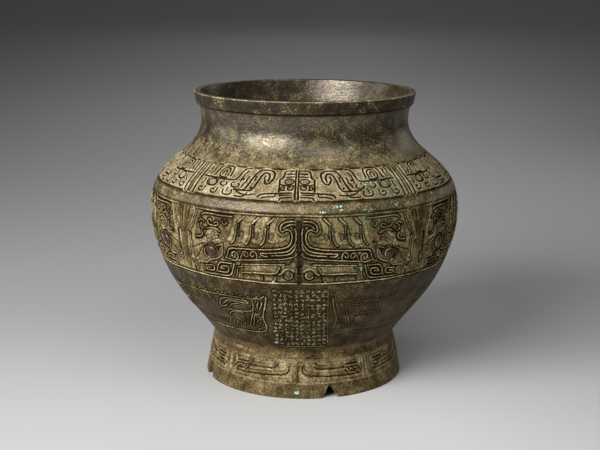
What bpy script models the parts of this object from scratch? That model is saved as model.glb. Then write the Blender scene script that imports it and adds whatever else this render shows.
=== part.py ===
"""A bronze wine vessel of the lei kind: one casting, hollow and open, on a flaring foot ring.

The turned body is a stack of zones from the ground up. Four of the zones are carved bands, drawn
flat as half panels and wrapped round the body. Metres, +Z up, origin at the centre of the foot's
underside, and the middle of the main band's front panel faces -Y.
"""
import math

import bmesh
import bpy
import numpy as np
from mathutils import Vector
from mathutils.geometry import delaunay_2d_cdt

# Heights of the zones, stacked from the ground up
FOOT_RIM_HEIGHT = 0.0158
FOOT_BAND_HEIGHT = 0.0284
FOOT_NECK_HEIGHT = 0.0068
LOWER_PLAIN_HEIGHT = 0.0245
LOWER_BAND_HEIGHT = 0.0655
BELT_HEIGHT = 0.0079
MAIN_BAND_HEIGHT = 0.0787
RIDGE_HEIGHT = 0.0114
SHOULDER_BAND_HEIGHT = 0.031
NECK_LOW_HEIGHT = 0.036
NECK_TOP_HEIGHT = 0.0192
LIP_HEIGHT = 0.0148

# Radii of the key circles, from the ground up
FOOT_RADIUS = 0.1186
FOOT_RIM_TOP_RADIUS = 0.1152
FOOT_BAND_TOP_RADIUS = 0.1095
WAIST_RADIUS = 0.1066
LOWER_BOTTOM_RADIUS = 0.1249
LOWER_MIDDLE_RADIUS = 0.1503
LOWER_TOP_RADIUS = 0.1685
BELLY_RADIUS = 0.1823
RIDGE_BOTTOM_RADIUS = 0.1790
RIDGE_TOP_RADIUS = 0.1736
SHOULDER_MIDDLE_RADIUS = 0.1605
SHOULDER_TOP_RADIUS = 0.1422
NECK_RADIUS = 0.1216
NECK_TOP_RADIUS = 0.1245
LIP_BOTTOM_RADIUS = 0.1274
LIP_TOP_RADIUS = 0.1303

# Walls
WALL = 0.004
FOOT_WALL = 0.004
FLOOR_THICKNESS = 0.004
FLOOR_CORNER = 0.006
LIP_WIDTH = 0.0078
LIP_ROUNDING = 0.0012

# Carving: depth of the sunk ground, rise of the forms above the turned surface, bosses
GROUND_DEPTH = 0.0008
FORM_RISE = 0.0004
EYE_RADIUS = 0.0070
EYE_RISE = 0.0042
EYE_CROWN_SHARE = 0.55
SMALL_EYE_RADIUS = 0.0058
SMALL_EYE_RISE = 0.0020
BROAD_LINE = 0.0048
FORM_LINE = 0.0036
RIB_LINE = 0.0026
FINE_LINE = 0.0021
EAR_LOBE_WIDTH = 0.0120
EAR_TIP_WIDTH = 0.0084
MASK_EYE_RADIUS = 0.0050
SHOULDER_EYE_RADIUS = 0.0040
LOWER_EYE_RADIUS = 0.0075
EYE_SIDES = 7
SMALL_EYE_SIDES = 5

# Inscription block below the main band
INSCRIPTION_WIDTH = 0.060
INSCRIPTION_BARE_EDGE = 0.005

# Layout round the body
SEGMENTS = 40
HALF_PANELS = 8
PLAIN_FROM_HALF_PANEL = 2
BORDER_ROWS = 3
NECK_RINGS = 5
PROFILE_SAMPLES = 60
LOOSE_POINT_PITCH = 0.020
LOOSE_POINT_CLEARANCE = 0.006
SHOULDER_TURN = math.radians(-1.1)
FOOT_TURN = math.radians(-2.9)
BELLY_SHARE_OF_MAIN_BAND = 0.787

# Notches broken out of the foot rim: middle bearing, width at the ground, height, lean of the apex
NOTCHES = ((math.radians(16.8), 0.0186, 0.0150, -0.0025), (math.radians(-68.6), 0.0186, 0.0150, 0.0))
NOTCH_FLAT = 0.003

BRONZE_COLOUR = (0.150, 0.120, 0.070, 1.0)
BRONZE_ROUGHNESS = 0.45
JOIN_DISTANCE = 0.000005
MILLIMETRE = 0.001
HEIGHT_DIGITS = 7
SLOPE_STEP_SHARE = 0.125

# Uprights of the panels, as shares of a half panel
FAN_FROM = 0.6
STRIP_INSET = 0.02
RIDGE_STRIP_SHARE = 0.018
DIVIDER_SHARE = 0.040
DIVIDER_TOP_SHARE = 0.075
FOOT_STRIP_INSET = 0.08
FOOT_STRIP_SHARE = 0.024

MITRE_LIMIT = 0.72
SMOOTH_ANGLE = math.radians(32)

# Levels of the zones, from the stack
FOOT_BAND_Z = FOOT_RIM_HEIGHT
FOOT_NECK_Z = FOOT_BAND_Z + FOOT_BAND_HEIGHT
WAIST_Z = FOOT_NECK_Z + FOOT_NECK_HEIGHT
LOWER_BAND_Z = WAIST_Z + LOWER_PLAIN_HEIGHT
BELT_Z = LOWER_BAND_Z + LOWER_BAND_HEIGHT
MAIN_BAND_Z = BELT_Z + BELT_HEIGHT
BELLY_Z = MAIN_BAND_Z + MAIN_BAND_HEIGHT * BELLY_SHARE_OF_MAIN_BAND
RIDGE_Z = MAIN_BAND_Z + MAIN_BAND_HEIGHT
SHOULDER_BAND_Z = RIDGE_Z + RIDGE_HEIGHT
NECK_Z = SHOULDER_BAND_Z + SHOULDER_BAND_HEIGHT
NECK_WAIST_Z = NECK_Z + NECK_LOW_HEIGHT
LIP_Z = NECK_WAIST_Z + NECK_TOP_HEIGHT
TOP_Z = LIP_Z + LIP_HEIGHT


# Turned profile

def spline(knots, values, at):
    """Natural cubic through the key circles, read at the heights given."""
    knots, values, at = (np.asarray(item, float) for item in (knots, values, at))
    steps = np.diff(knots)
    slopes = np.diff(values) / steps
    count = len(knots)
    matrix = np.eye(count)
    right = np.zeros(count)
    for row in range(1, count - 1):
        matrix[row, row - 1:row + 2] = steps[row - 1], 2 * (steps[row - 1] + steps[row]), steps[row]
        right[row] = 6 * (slopes[row] - slopes[row - 1])
    bend = np.linalg.solve(matrix, right)
    low = np.clip(np.searchsorted(knots, at) - 1, 0, count - 2)
    after, before, step = at - knots[low], knots[low + 1] - at, steps[low]
    cubic = (bend[low] * before ** 3 + bend[low + 1] * after ** 3) / (6 * step)
    straight_low = (values[low] / step - bend[low] * step / 6) * before
    straight_high = (values[low + 1] / step - bend[low + 1] * step / 6) * after
    return cubic + straight_low + straight_high


BODY_KNOTS = (WAIST_Z, LOWER_BAND_Z, LOWER_BAND_Z + LOWER_BAND_HEIGHT / 2, BELT_Z, BELLY_Z, RIDGE_Z,
              SHOULDER_BAND_Z, SHOULDER_BAND_Z + SHOULDER_BAND_HEIGHT / 2, NECK_Z, NECK_WAIST_Z, LIP_Z)
BODY_RADII = (WAIST_RADIUS, LOWER_BOTTOM_RADIUS, LOWER_MIDDLE_RADIUS, LOWER_TOP_RADIUS, BELLY_RADIUS,
              RIDGE_BOTTOM_RADIUS, RIDGE_TOP_RADIUS, SHOULDER_MIDDLE_RADIUS, SHOULDER_TOP_RADIUS,
              NECK_RADIUS, NECK_TOP_RADIUS)
FOOT_KNOTS = (0.0, FOOT_BAND_Z, FOOT_NECK_Z, WAIST_Z)
FOOT_RADII = (FOOT_RADIUS, FOOT_RIM_TOP_RADIUS, FOOT_BAND_TOP_RADIUS, WAIST_RADIUS)


def outer_radius(z):
    """Radius of the turned outside at a height below the lip."""
    z = np.asarray(z, float)
    return np.where(z < WAIST_Z, np.interp(z, FOOT_KNOTS, FOOT_RADII), spline(BODY_KNOTS, BODY_RADII, z))


def inner_radius(z):
    """Radius of the hollow: the outside moved in by the wall, square to the profile."""
    step = WALL * SLOPE_STEP_SHARE
    slope = (outer_radius(z + step) - outer_radius(z - step)) / (2 * step)
    return outer_radius(z) - WALL * np.sqrt(1 + slope ** 2)


# Strokes of the carving, drawn flat in metres

def path(size, *shares):
    """Points of a stroke, given as shares of the half panel's width and height."""
    return [Vector((u * size[0], v * size[1])) for u, v in shares]


def arc(size, centre, radii, start, end, count):
    """Points along part of an ellipse, as shares; angles in degrees, anticlockwise from the right."""
    angles = np.radians(np.linspace(start, end, count))
    return [Vector(((centre[0] + radii[0] * math.cos(a)) * size[0],
                    (centre[1] + radii[1] * math.sin(a)) * size[1])) for a in angles]


def stroke(points, width, end_width=None):
    """Outline of a line of the given width along the points, with mitred corners and square ends."""
    last = width if end_width is None else end_width
    left, right = [], []
    for index, point in enumerate(points):
        before = (point - points[max(index - 1, 0)]).normalized()
        after = (points[min(index + 1, len(points) - 1)] - point).normalized()
        along = (before + after).normalized()
        half = (width + (last - width) * index / (len(points) - 1)) / 2
        straight = max(along.dot(after if after.length else before), MITRE_LIMIT)
        side = Vector((-along.y, along.x)) * half / straight
        left.append(point + side)
        right.append(point - side)
    return right + left[::-1]


def disc(size, centre, radius, sides):
    """Outline of a round boss at a place given in shares."""
    middle = Vector((centre[0] * size[0], centre[1] * size[1]))
    turns = [2 * math.pi * (side + 0.5) / sides for side in range(sides)]
    return [middle + radius * Vector((math.cos(turn), math.sin(turn))) for turn in turns]


class Form:
    """One raised form: its flat outline, and its height over the sunk ground at a place."""

    def __init__(self, outline, rise=GROUND_DEPTH + FORM_RISE, dome=None):
        self.outline = outline
        self.rise = rise
        self.dome = dome

    def height(self, place):
        """Height at a place: level, or domed over the given centre and radius."""
        if self.dome is None:
            return self.rise
        centre, radius, top = self.dome
        share = min((place - centre).length / radius, 1.0)
        return self.rise + (top - self.rise) * math.sqrt(1 - share ** 2)


def boss(size, centre, radius, rise, sides):
    """A domed eye: a ring of sides at its foot and a smaller one round its crown."""
    middle = Vector((centre[0] * size[0], centre[1] * size[1]))
    base = GROUND_DEPTH + FORM_RISE
    dome = (middle, radius, base + rise)
    return [Form(disc(size, centre, ring, sides), base, dome) for ring in (radius, radius * EYE_CROWN_SHARE)]


def middle_strip(size, half_width, inset):
    """The plain upright on the panel's centre line, with a point at each row of the border."""
    rows = [inset] + [row / BORDER_ROWS for row in range(1, BORDER_ROWS)] + [1 - inset]
    inner = [Vector((0, row * size[1])) for row in rows]
    outer = [Vector((half_width * size[0], row * size[1])) for row in rows]
    return outer + inner[::-1]


def divider_strip(size, half_width, top_half_width, inset):
    """The upright between two panels, which widens like a fan at its top."""
    rows = [inset] + [row / BORDER_ROWS for row in range(1, BORDER_ROWS)] + [1 - inset]
    outer = [Vector((size[0], row * size[1])) for row in rows]
    spread = [half_width + (top_half_width - half_width) * max(0, row - FAN_FROM) / (1 - FAN_FROM)
              for row in rows]
    inner = [Vector(((1 - wide) * size[0], row * size[1])) for wide, row in zip(spread, rows)]
    return outer + inner[::-1]


def main_band_forms(size, order):
    """Half of a main panel: plume and ribs, ear, eye, jaw, nostril and bars round the centre ridge."""
    full = order < PLAIN_FROM_HALF_PANEL
    # The plume: a hooked curl beside the ridge that sweeps out into the uppermost rib
    plume = (path(size, (0.036, 0.935), (0.115, 0.930), (0.150, 0.850), (0.140, 0.755), (0.105, 0.745))
             + arc(size, (0.122, 0.680), (0.054, 0.105), 145, 250, 3)
             + path(size, (0.190, 0.555), (0.360, 0.542), (0.540, 0.535), (0.587, 0.490), (0.580, 0.345)))
    # Ear: a broad arch, open below, with a lobe on its inner side
    ear = path(size, (0.592, 0.650), (0.578, 0.820), (0.625, 0.888), (0.785, 0.888), (0.830, 0.820),
               (0.828, 0.570))
    # Jaw: the broad band under the ribs, down to the foot of the panel and out along it
    jaw = path(size, (0.040, 0.335), (0.220, 0.330), (0.400, 0.318), (0.482, 0.250), (0.550, 0.056),
               (0.690, 0.052), (0.830, 0.052))
    shapes = [middle_strip(size, RIDGE_STRIP_SHARE, STRIP_INSET),
              divider_strip(size, DIVIDER_SHARE, DIVIDER_TOP_SHARE, STRIP_INSET),
              stroke(plume, FORM_LINE),
              stroke(ear, EAR_LOBE_WIDTH, EAR_TIP_WIDTH),
              stroke(jaw, BROAD_LINE)]
    if full:
        # Three bent feathers above the plume's rib
        for number in range(3):
            x = 0.236 + 0.117 * number
            shapes.append(stroke(path(size, (x - 0.045, 0.945), (x, 0.850), (x + 0.020, 0.605)),
                                 FINE_LINE, FORM_LINE))
        # The ribs below it, each turning out of the ridge's side into a level line
        for number, end in enumerate((0.455, 0.300)):
            level = 0.475 - 0.060 * number
            rib = path(size, (0.039, 0.720 - 0.130 * number), (0.042, level + 0.070), (0.100, level + 0.006),
                       (0.230, level), (end, level - 0.006))
            shapes.append(stroke(rib, RIB_LINE))
        # Lower lid, level bar with its upright end, outer border, square and round spirals
        lines = [path(size, (0.642, 0.545), (0.636, 0.370), (0.740, 0.275), (0.855, 0.215)),
                 path(size, (0.135, 0.158), (0.290, 0.152), (0.450, 0.142)),
                 path(size, (0.445, 0.235), (0.452, 0.060)),
                 path(size, (0.893, 0.890), (0.918, 0.500), (0.918, 0.050))]
        fine = [path(size, (0.560, 0.250), (0.660, 0.250), (0.675, 0.120), (0.585, 0.120),
                     (0.582, 0.188), (0.632, 0.188)),
                path(size, (0.715, 0.205), (0.800, 0.195), (0.800, 0.120), (0.725, 0.120)),
                arc(size, (0.512, 0.415), (0.028, 0.052), -60, 220, 5)]
        shapes += [stroke(points, RIB_LINE) for points in lines]
        shapes += [stroke(points, FINE_LINE) for points in fine]
    forms = [Form(shape) for shape in shapes]
    forms += boss(size, (0.717, 0.425), EYE_RADIUS, EYE_RISE, EYE_SIDES if full else SMALL_EYE_SIDES)
    if full:
        forms.append(Form(disc(size, (0.080, 0.155), SMALL_EYE_RADIUS, 6), SMALL_EYE_RISE))
    return forms


def shoulder_band_forms(size, order):
    """Half of a shoulder panel: mask, hooked curls, slanting ribs, square spiral and eye."""
    curl = path(size, (0.290, 0.560), (0.262, 0.470), (0.212, 0.620), (0.222, 0.860), (0.330, 0.905),
                (0.385, 0.640), (0.430, 0.290))
    shapes = [stroke(path(size, (0.952, 0.060), (0.952, 0.940)), FORM_LINE),
              stroke(curl, RIB_LINE),
              stroke(path(size, (0.455, 0.500), (0.670, 0.545), (0.890, 0.565)), FINE_LINE)]
    if order < PLAIN_FROM_HALF_PANEL:
        # Square spiral, bent feather and second slanting rib, mask bars, slanting line and curl
        spiral = path(size, (0.625, 0.660), (0.628, 0.930), (0.780, 0.930), (0.800, 0.640))
        shapes += [stroke(spiral, RIB_LINE),
                   stroke(path(size, (0.470, 0.930), (0.520, 0.860), (0.555, 0.570)), RIB_LINE),
                   stroke(path(size, (0.332, 0.720), (0.378, 0.280), (0.540, 0.290)), FINE_LINE),
                   stroke(path(size, (0.738, 0.840), (0.675, 0.840), (0.675, 0.690)), FINE_LINE),
                   stroke(path(size, (0.045, 0.850), (0.120, 0.850)), RIB_LINE),
                   stroke(path(size, (0.045, 0.215), (0.290, 0.210)), FINE_LINE),
                   stroke(path(size, (0.855, 0.930), (0.885, 0.660)), FINE_LINE),
                   stroke(path(size, (0.700, 0.290), (0.740, 0.300), (0.735, 0.150)), FINE_LINE)]
    forms = [Form(shape) for shape in shapes]
    forms.append(Form(disc(size, (0.078, 0.560), MASK_EYE_RADIUS, SMALL_EYE_SIDES)))
    forms.append(Form(disc(size, (0.800, 0.400), SHOULDER_EYE_RADIUS, SMALL_EYE_SIDES), SMALL_EYE_RISE))
    return forms


def foot_band_forms(size, order):
    """Half of a foot panel: the long body of a dragon as two bent lines, with ticks under them."""
    shapes = [middle_strip(size, FOOT_STRIP_SHARE, FOOT_STRIP_INSET),
              stroke(path(size, (0.945, 0.120), (0.945, 0.880)), FINE_LINE),
              stroke(path(size, (0.096, 0.800), (0.120, 0.560), (0.250, 0.440), (0.560, 0.405),
                          (0.880, 0.385)), RIB_LINE)]
    if order < PLAIN_FROM_HALF_PANEL:
        back = path(size, (0.250, 0.830), (0.310, 0.710), (0.590, 0.700), (0.860, 0.700))
        shapes.append(stroke(back, RIB_LINE))
        for place in (0.215, 0.430, 0.750):
            shapes.append(stroke(path(size, (place, 0.310), (place + 0.020, 0.130)), FINE_LINE))
    return [Form(shape) for shape in shapes]


def lower_band_forms(size, order):
    """Half of a lower panel; the one beside the inscription begins at its bare edge."""
    if order > 0:
        shapes = [stroke(path(size, (0.0, 0.060), (0.333, 0.060), (0.667, 0.060), (1.0, 0.060)), RIB_LINE)]
        if order < PLAIN_FROM_HALF_PANEL:
            shapes.append(stroke(path(size, (0.060, 0.815), (0.500, 0.815), (1.0, 0.815)), RIB_LINE))
        return [Form(shape) for shape in shapes]
    edge = (INSCRIPTION_WIDTH / 2 + INSCRIPTION_BARE_EDGE) / size[0]
    frame = path(size, (1.0, 0.060), (0.750, 0.060), (edge + 0.070, 0.060), (edge + 0.010, 0.150),
                 (edge - 0.006, 0.480), (edge - 0.030, 0.890))
    lines = [(frame, RIB_LINE),
             (path(size, (0.520, 0.745), (0.740, 0.745), (0.785, 0.560)), FORM_LINE),
             (path(size, (0.470, 0.535), (0.650, 0.520), (0.800, 0.480)), RIB_LINE),
             (path(size, (0.440, 0.560), (0.520, 0.210)), RIB_LINE),
             (path(size, (edge + 0.030, 0.835), (0.700, 0.820), (0.880, 0.815), (1.0, 0.815)), RIB_LINE)]
    forms = [Form(stroke(points, line)) for points, line in lines]
    forms.append(Form(disc(size, (0.620, 0.390), LOWER_EYE_RADIUS, EYE_SIDES), SMALL_EYE_RISE))
    return forms


# Surface: rings of points joined into one closed skin

def ring_point(turn, radius, z):
    """A point of the vessel at a bearing from the front, which is -Y, turning towards +X."""
    return (radius * math.sin(turn), -radius * math.cos(turn), z)


class Skin:
    """Collects the faces of the vessel; seams are joined once, at the end."""

    def __init__(self):
        self.points = []
        self.faces = []

    def add(self, corners):
        """Adds one face by its corner points."""
        start = len(self.points)
        self.points += corners
        self.faces.append(tuple(range(start, start + len(corners))))

    def join_rings(self, low, high):
        """Joins two rings, each given as radius, height and turn; a radius of nothing is a pole."""
        pitch = 2 * math.pi / SEGMENTS
        for index in range(SEGMENTS):
            near, far = index * pitch, (index + 1) * pitch
            corners = [ring_point(low[2] + near, low[0], low[1])]
            if low[0] > 0:
                corners.append(ring_point(low[2] + far, low[0], low[1]))
            corners.append(ring_point(high[2] + far, high[0], high[1]))
            if high[0] > 0:
                corners.append(ring_point(high[2] + near, high[0], high[1]))
            self.add(corners)


def flat_half_panel(size, forms):
    """Cuts the flat half panel into triangles along the outlines, and names each one's form."""
    width, height = size
    columns = SEGMENTS // HALF_PANELS
    border = [(width * step / columns, 0) for step in range(columns)]
    border += [(width, height * step / BORDER_ROWS) for step in range(BORDER_ROWS)]
    border += [(width * (1 - step / columns), height) for step in range(columns)]
    border += [(0, height * (1 - step / BORDER_ROWS)) for step in range(BORDER_ROWS)]
    points = [Vector(place) for place in border]
    edges = [(index, (index + 1) % len(points)) for index in range(len(points))]
    polygons = []
    for form in forms:
        start = len(points)
        points += form.outline
        polygons.append(list(range(start, len(points))))
    # Loose points keep the ground round where no form is near
    across = max(2, round(width / LOOSE_POINT_PITCH))
    up = max(2, round(height / LOOSE_POINT_PITCH))
    outlines = np.array([tuple(point) for point in points])
    for row in range(1, up):
        for column in range(1, across):
            place = np.array([width * column / across, height * row / up])
            if np.hypot(*(outlines - place).T).min() > LOOSE_POINT_CLEARANCE:
                points.append(Vector(place))
    to_grid = 1 / MILLIMETRE
    scaled = [point * to_grid for point in points]
    verts, _, faces, _, _, owners = delaunay_2d_cdt(scaled, edges, polygons, 0, MILLIMETRE)
    flat = [vert / to_grid for vert in verts]
    named = []
    for face, owner in zip(faces, owners):
        middle = sum((flat[index] for index in face), Vector((0, 0))) / len(face)
        best = max(owner, key=lambda form: forms[form].height(middle), default=None)
        named.append((tuple(face), best))
    return flat, named


def half_panel_faces(size, forms):
    """Faces of a half panel as corners (across, up, rise), with a wall wherever the level steps."""
    flat, named = flat_half_panel(size, forms)

    def rise(owner, index):
        return 0.0 if owner is None else round(forms[owner].height(flat[index]), HEIGHT_DIGITS)

    levels = {}
    beside = {}
    for face, owner in named:
        for position, index in enumerate(face):
            levels.setdefault(index, set()).add(rise(owner, index))
            beside[(index, face[(position + 1) % len(face)])] = owner
    result = [[(*flat[index], rise(owner, index)) for index in face] for face, owner in named]
    for (first, second), owner in beside.items():
        if first > second or (second, first) not in beside:
            continue
        other = beside[(second, first)]
        if owner == other:
            continue
        ladder = []
        for index, start, end in ((first, rise(owner, first), rise(other, first)),
                                  (second, rise(other, second), rise(owner, second))):
            steps = sorted(level for level in levels[index] if min(start, end) <= level <= max(start, end))
            steps = steps if start <= end else steps[::-1]
            ladder += [(*flat[index], level) for level in steps]
        if len(ladder) > 2:
            result.append(ladder)
    return result


def add_band(skin, low_z, high_z, turn, sunk, forms_of):
    """Wraps a band of half panels round the body between two heights, its ground sunk by a depth."""
    heights = np.linspace(low_z, high_z, PROFILE_SAMPLES)
    radii = outer_radius(heights)
    along = np.concatenate([[0.0], np.cumsum(np.hypot(np.diff(heights), np.diff(radii)))])
    size = (float(radii.mean()) * 2 * math.pi / HALF_PANELS, float(along[-1]))
    span = 2 * math.pi / HALF_PANELS
    variants = [half_panel_faces(size, forms_of(size, order)) for order in range(HALF_PANELS // 2)]
    for side in (1, -1):
        for order in range(HALF_PANELS // 2):
            middle = (order + 1) // 2 * 2 * span * side
            outward = side if order % 2 == 0 else -side
            for face in variants[order]:
                corners = []
                for across, up, rise in face:
                    z = float(np.interp(up, along, heights))
                    radius = float(np.interp(up, along, radii)) - sunk + rise
                    bearing = middle + outward * across / size[0] * span + turn
                    corners.append(ring_point(bearing, radius, z))
                skin.add(corners if outward > 0 else corners[::-1])
    low = (float(radii[0]) - sunk, low_z, turn)
    high = (float(radii[-1]) - sunk, high_z, turn)
    return low, high


def plain_rings(heights, turn_low=0.0, turn_high=0.0):
    """Rings of the turned outside at the heights given."""
    turns = np.linspace(turn_low, turn_high, len(heights))
    return [(float(outer_radius(z)), z, float(turn)) for z, turn in zip(heights, turns)]


def build_skin():
    """The whole vessel: underside, foot, body with its bands, lip, hollow and floor."""
    skin = Skin()
    floor_under = WAIST_Z - FLOOR_THICKNESS / 2
    floor_top = floor_under + FLOOR_THICKNESS
    foot_inner = [(float(outer_radius(z)) - FOOT_WALL, z, 0.0)
                  for z in (floor_under, floor_under - FLOOR_CORNER, FOOT_BAND_Z, 0.0)]
    chain = [(0.0, floor_under, 0.0), (foot_inner[0][0] - FLOOR_CORNER, floor_under, 0.0), *foot_inner[1:],
             *plain_rings((0.0, FOOT_BAND_Z), 0.0, FOOT_TURN)]
    bands = [(FOOT_BAND_Z, FOOT_NECK_Z, FOOT_TURN, GROUND_DEPTH, foot_band_forms,
              plain_rings((FOOT_NECK_Z, WAIST_Z), FOOT_TURN, 0.0)),
             (LOWER_BAND_Z, BELT_Z, 0.0, 0.0, lower_band_forms, plain_rings((MAIN_BAND_Z,))),
             (MAIN_BAND_Z, RIDGE_Z, 0.0, GROUND_DEPTH, main_band_forms,
              plain_rings((RIDGE_Z, SHOULDER_BAND_Z), 0.0, SHOULDER_TURN)),
             (SHOULDER_BAND_Z, NECK_Z, SHOULDER_TURN, GROUND_DEPTH, shoulder_band_forms,
              plain_rings(np.linspace(NECK_Z, LIP_Z, NECK_RINGS), SHOULDER_TURN, 0.0))]
    for low_z, high_z, turn, sunk, forms_of, rings_above in bands:
        low, high = add_band(skin, low_z, high_z, turn, sunk, forms_of)
        chain.append(low)
        for below, above in zip(chain, chain[1:]):
            skin.join_rings(below, above)
        chain = [high, *rings_above]
    lip_inner = LIP_TOP_RADIUS - LIP_WIDTH
    levels = [*BODY_KNOTS[1:-1], (BELT_Z + BELLY_Z) / 2, LIP_Z - WALL, floor_top + FLOOR_CORNER]
    chain += [(LIP_BOTTOM_RADIUS, LIP_Z, 0.0), (LIP_TOP_RADIUS, TOP_Z - LIP_ROUNDING, 0.0),
              (LIP_TOP_RADIUS - LIP_ROUNDING, TOP_Z, 0.0), (lip_inner, TOP_Z, 0.0)]
    chain += [(float(inner_radius(z)), z, 0.0) for z in sorted(levels, reverse=True)]
    chain += [(chain[-1][0] - FLOOR_CORNER, floor_top, 0.0), (0.0, floor_top, 0.0)]
    for below, above in zip(chain, chain[1:]):
        skin.join_rings(below, above)
    return skin


def bronze():
    """The vessel's bronze."""
    material = bpy.data.materials.new("bronze")
    material.use_nodes = True
    shader = material.node_tree.nodes["Principled BSDF"]
    shader.inputs["Base Color"].default_value = BRONZE_COLOUR
    shader.inputs["Metallic"].default_value = 1.0
    shader.inputs["Roughness"].default_value = BRONZE_ROUGHNESS
    return material


def make_vessel():
    """The vessel as one object, its seams joined."""
    skin = build_skin()
    mesh = bpy.data.meshes.new("vessel")
    mesh.from_pydata(skin.points, [], skin.faces)
    work = bmesh.new()
    work.from_mesh(mesh)
    bmesh.ops.remove_doubles(work, verts=work.verts, dist=JOIN_DISTANCE)
    work.to_mesh(mesh)
    work.free()
    mesh.materials.append(bronze())
    mesh.shade_smooth()
    mesh.set_sharp_from_angle(angle=SMOOTH_ANGLE)
    vessel = bpy.data.objects.new("vessel", mesh)
    bpy.context.collection.objects.link(vessel)
    return vessel


def cut_notch(vessel, number, bearing, width, height, lean):
    """Cuts one notch through the foot rim with a wedge that runs out along the bearing."""
    reach_in = FOOT_RADIUS - 4 * FOOT_WALL
    reach_out = FOOT_RADIUS + FOOT_WALL
    below = -FOOT_WALL
    outline = ((-width / 2, below), (width / 2, below), (width / 2, 0.0), (lean + NOTCH_FLAT / 2, height),
               (lean - NOTCH_FLAT / 2, height), (-width / 2, 0.0))
    work = bmesh.new()
    ends = [[work.verts.new((x, -reach, z)) for x, z in outline] for reach in (reach_out, reach_in)]
    work.faces.new(ends[0])
    work.faces.new(ends[1][::-1])
    for index in range(len(outline)):
        after = (index + 1) % len(outline)
        work.faces.new((ends[0][after], ends[0][index], ends[1][index], ends[1][after]))
    mesh = bpy.data.meshes.new("notch_cutter")
    work.to_mesh(mesh)
    work.free()
    cutter = bpy.data.objects.new(f"notch_cutter_{number}", mesh)
    cutter.rotation_euler.z = bearing
    cutter.hide_render = True
    cutter.display_type = "WIRE"
    bpy.context.collection.objects.link(cutter)
    cut = vessel.modifiers.new(f"notch_{number}", "BOOLEAN")
    cut.operation = "DIFFERENCE"
    cut.solver = "EXACT"
    cut.object = cutter


def main():
    """Clears the scene and builds the vessel."""
    for item in list(bpy.data.objects):
        bpy.data.objects.remove(item)
    vessel = make_vessel()
    for number, (bearing, width, height, lean) in enumerate(NOTCHES):
        cut_notch(vessel, number, bearing, width, height, lean)


main()
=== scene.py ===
"""A bronze lei vessel on a flaring foot ring, carved in four bands, as a dressed visual model.

The vessel is one casting. Its skin is made in close-fitting pieces, each a closed shell: the plain
turned body with its hollow, the broken foot rim, and plates that carry the carving of each band.
"""
import logging
import math
from dataclasses import dataclass, field
from enum import IntEnum
from typing import Callable, Sequence

import bpy
import numpy as np
from mathutils import Matrix, Vector


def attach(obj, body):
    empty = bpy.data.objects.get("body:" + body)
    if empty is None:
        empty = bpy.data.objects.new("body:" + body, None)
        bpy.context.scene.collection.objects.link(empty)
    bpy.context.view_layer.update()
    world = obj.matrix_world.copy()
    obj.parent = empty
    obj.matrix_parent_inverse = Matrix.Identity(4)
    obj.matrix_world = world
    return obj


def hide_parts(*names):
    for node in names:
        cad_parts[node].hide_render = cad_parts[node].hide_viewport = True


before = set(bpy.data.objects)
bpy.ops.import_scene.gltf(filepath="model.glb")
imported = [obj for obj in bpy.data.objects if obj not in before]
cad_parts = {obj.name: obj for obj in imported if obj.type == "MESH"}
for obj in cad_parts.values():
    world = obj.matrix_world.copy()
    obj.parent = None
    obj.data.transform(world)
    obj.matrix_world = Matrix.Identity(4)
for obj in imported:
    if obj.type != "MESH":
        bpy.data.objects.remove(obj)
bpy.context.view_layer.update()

LOG = logging.getLogger("lei_vessel")
MM = 0.001
HALF_PANEL = math.pi / 4

# Levels of the zones in metres, from the ground up
RIM_TOP = 0.0158
FOOT_TOP = 0.0442
WAIST = 0.0510
LOWER_START = 0.0590
LOWER_PANEL = (0.0755, 0.1410)
MAIN_START = 0.1489
MAIN_TOP = 0.2276
RIDGE_TOP = 0.2390
SHOULDER_TOP = 0.2700
THROAT = 0.3250

# Corners of a line, across and up in turn, in thousandths of a half panel's width and height
Run = Sequence[float]


class Stain(IntEnum):
    """Point layers that drive the bronze, as places on the last axis of an array of stains."""

    # Earth and light worn metal, and the painted highlights on lit edges, beads and the lip's rim
    DEPOSIT = 0
    POLISH = 1
    GRAIN = 2
    VERDIGRIS = 3
    # Depth below the surroundings: painted shade in low places and trenches, a lighter crest on
    # high ones
    HOLLOW = 4
    WARMTH = 5


# Number tools

def smooth(value: np.ndarray, low: float, high: float) -> np.ndarray:
    """Eased step: 0 below low, 1 above high, 3t^2 - 2t^3 between.

    Args:
        value: numbers to ease.
        low: where the step starts.
        high: where the step ends; below low for a falling step.

    Returns:
        The eased numbers, from 0 to 1.
    """
    share = np.clip((value - low) / (high - low), 0.0, 1.0)
    return share * share * (3 - 2 * share)


def lattice(cells: np.ndarray, seed: int) -> np.ndarray:
    """Repeatable random number from 0 to 1 for each whole-number cell, by large primes and shifts.

    Args:
        cells: whole numbers, last axis x, y, z.
        seed: picks the field.

    Returns:
        One number per cell.
    """
    mix = (cells[..., 0] * 374761393 + cells[..., 1] * 668265263 + cells[..., 2] * 2147483647
           + seed * 1274126177).astype(np.uint64)
    mix = (mix ^ (mix >> np.uint64(13))) * np.uint64(1274126177)
    mix = (mix ^ (mix >> np.uint64(16))) * np.uint64(2246822519)
    return ((mix ^ (mix >> np.uint64(15))) & np.uint64(0xFFFFFF)).astype(np.float64) / 0xFFFFFF


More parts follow.
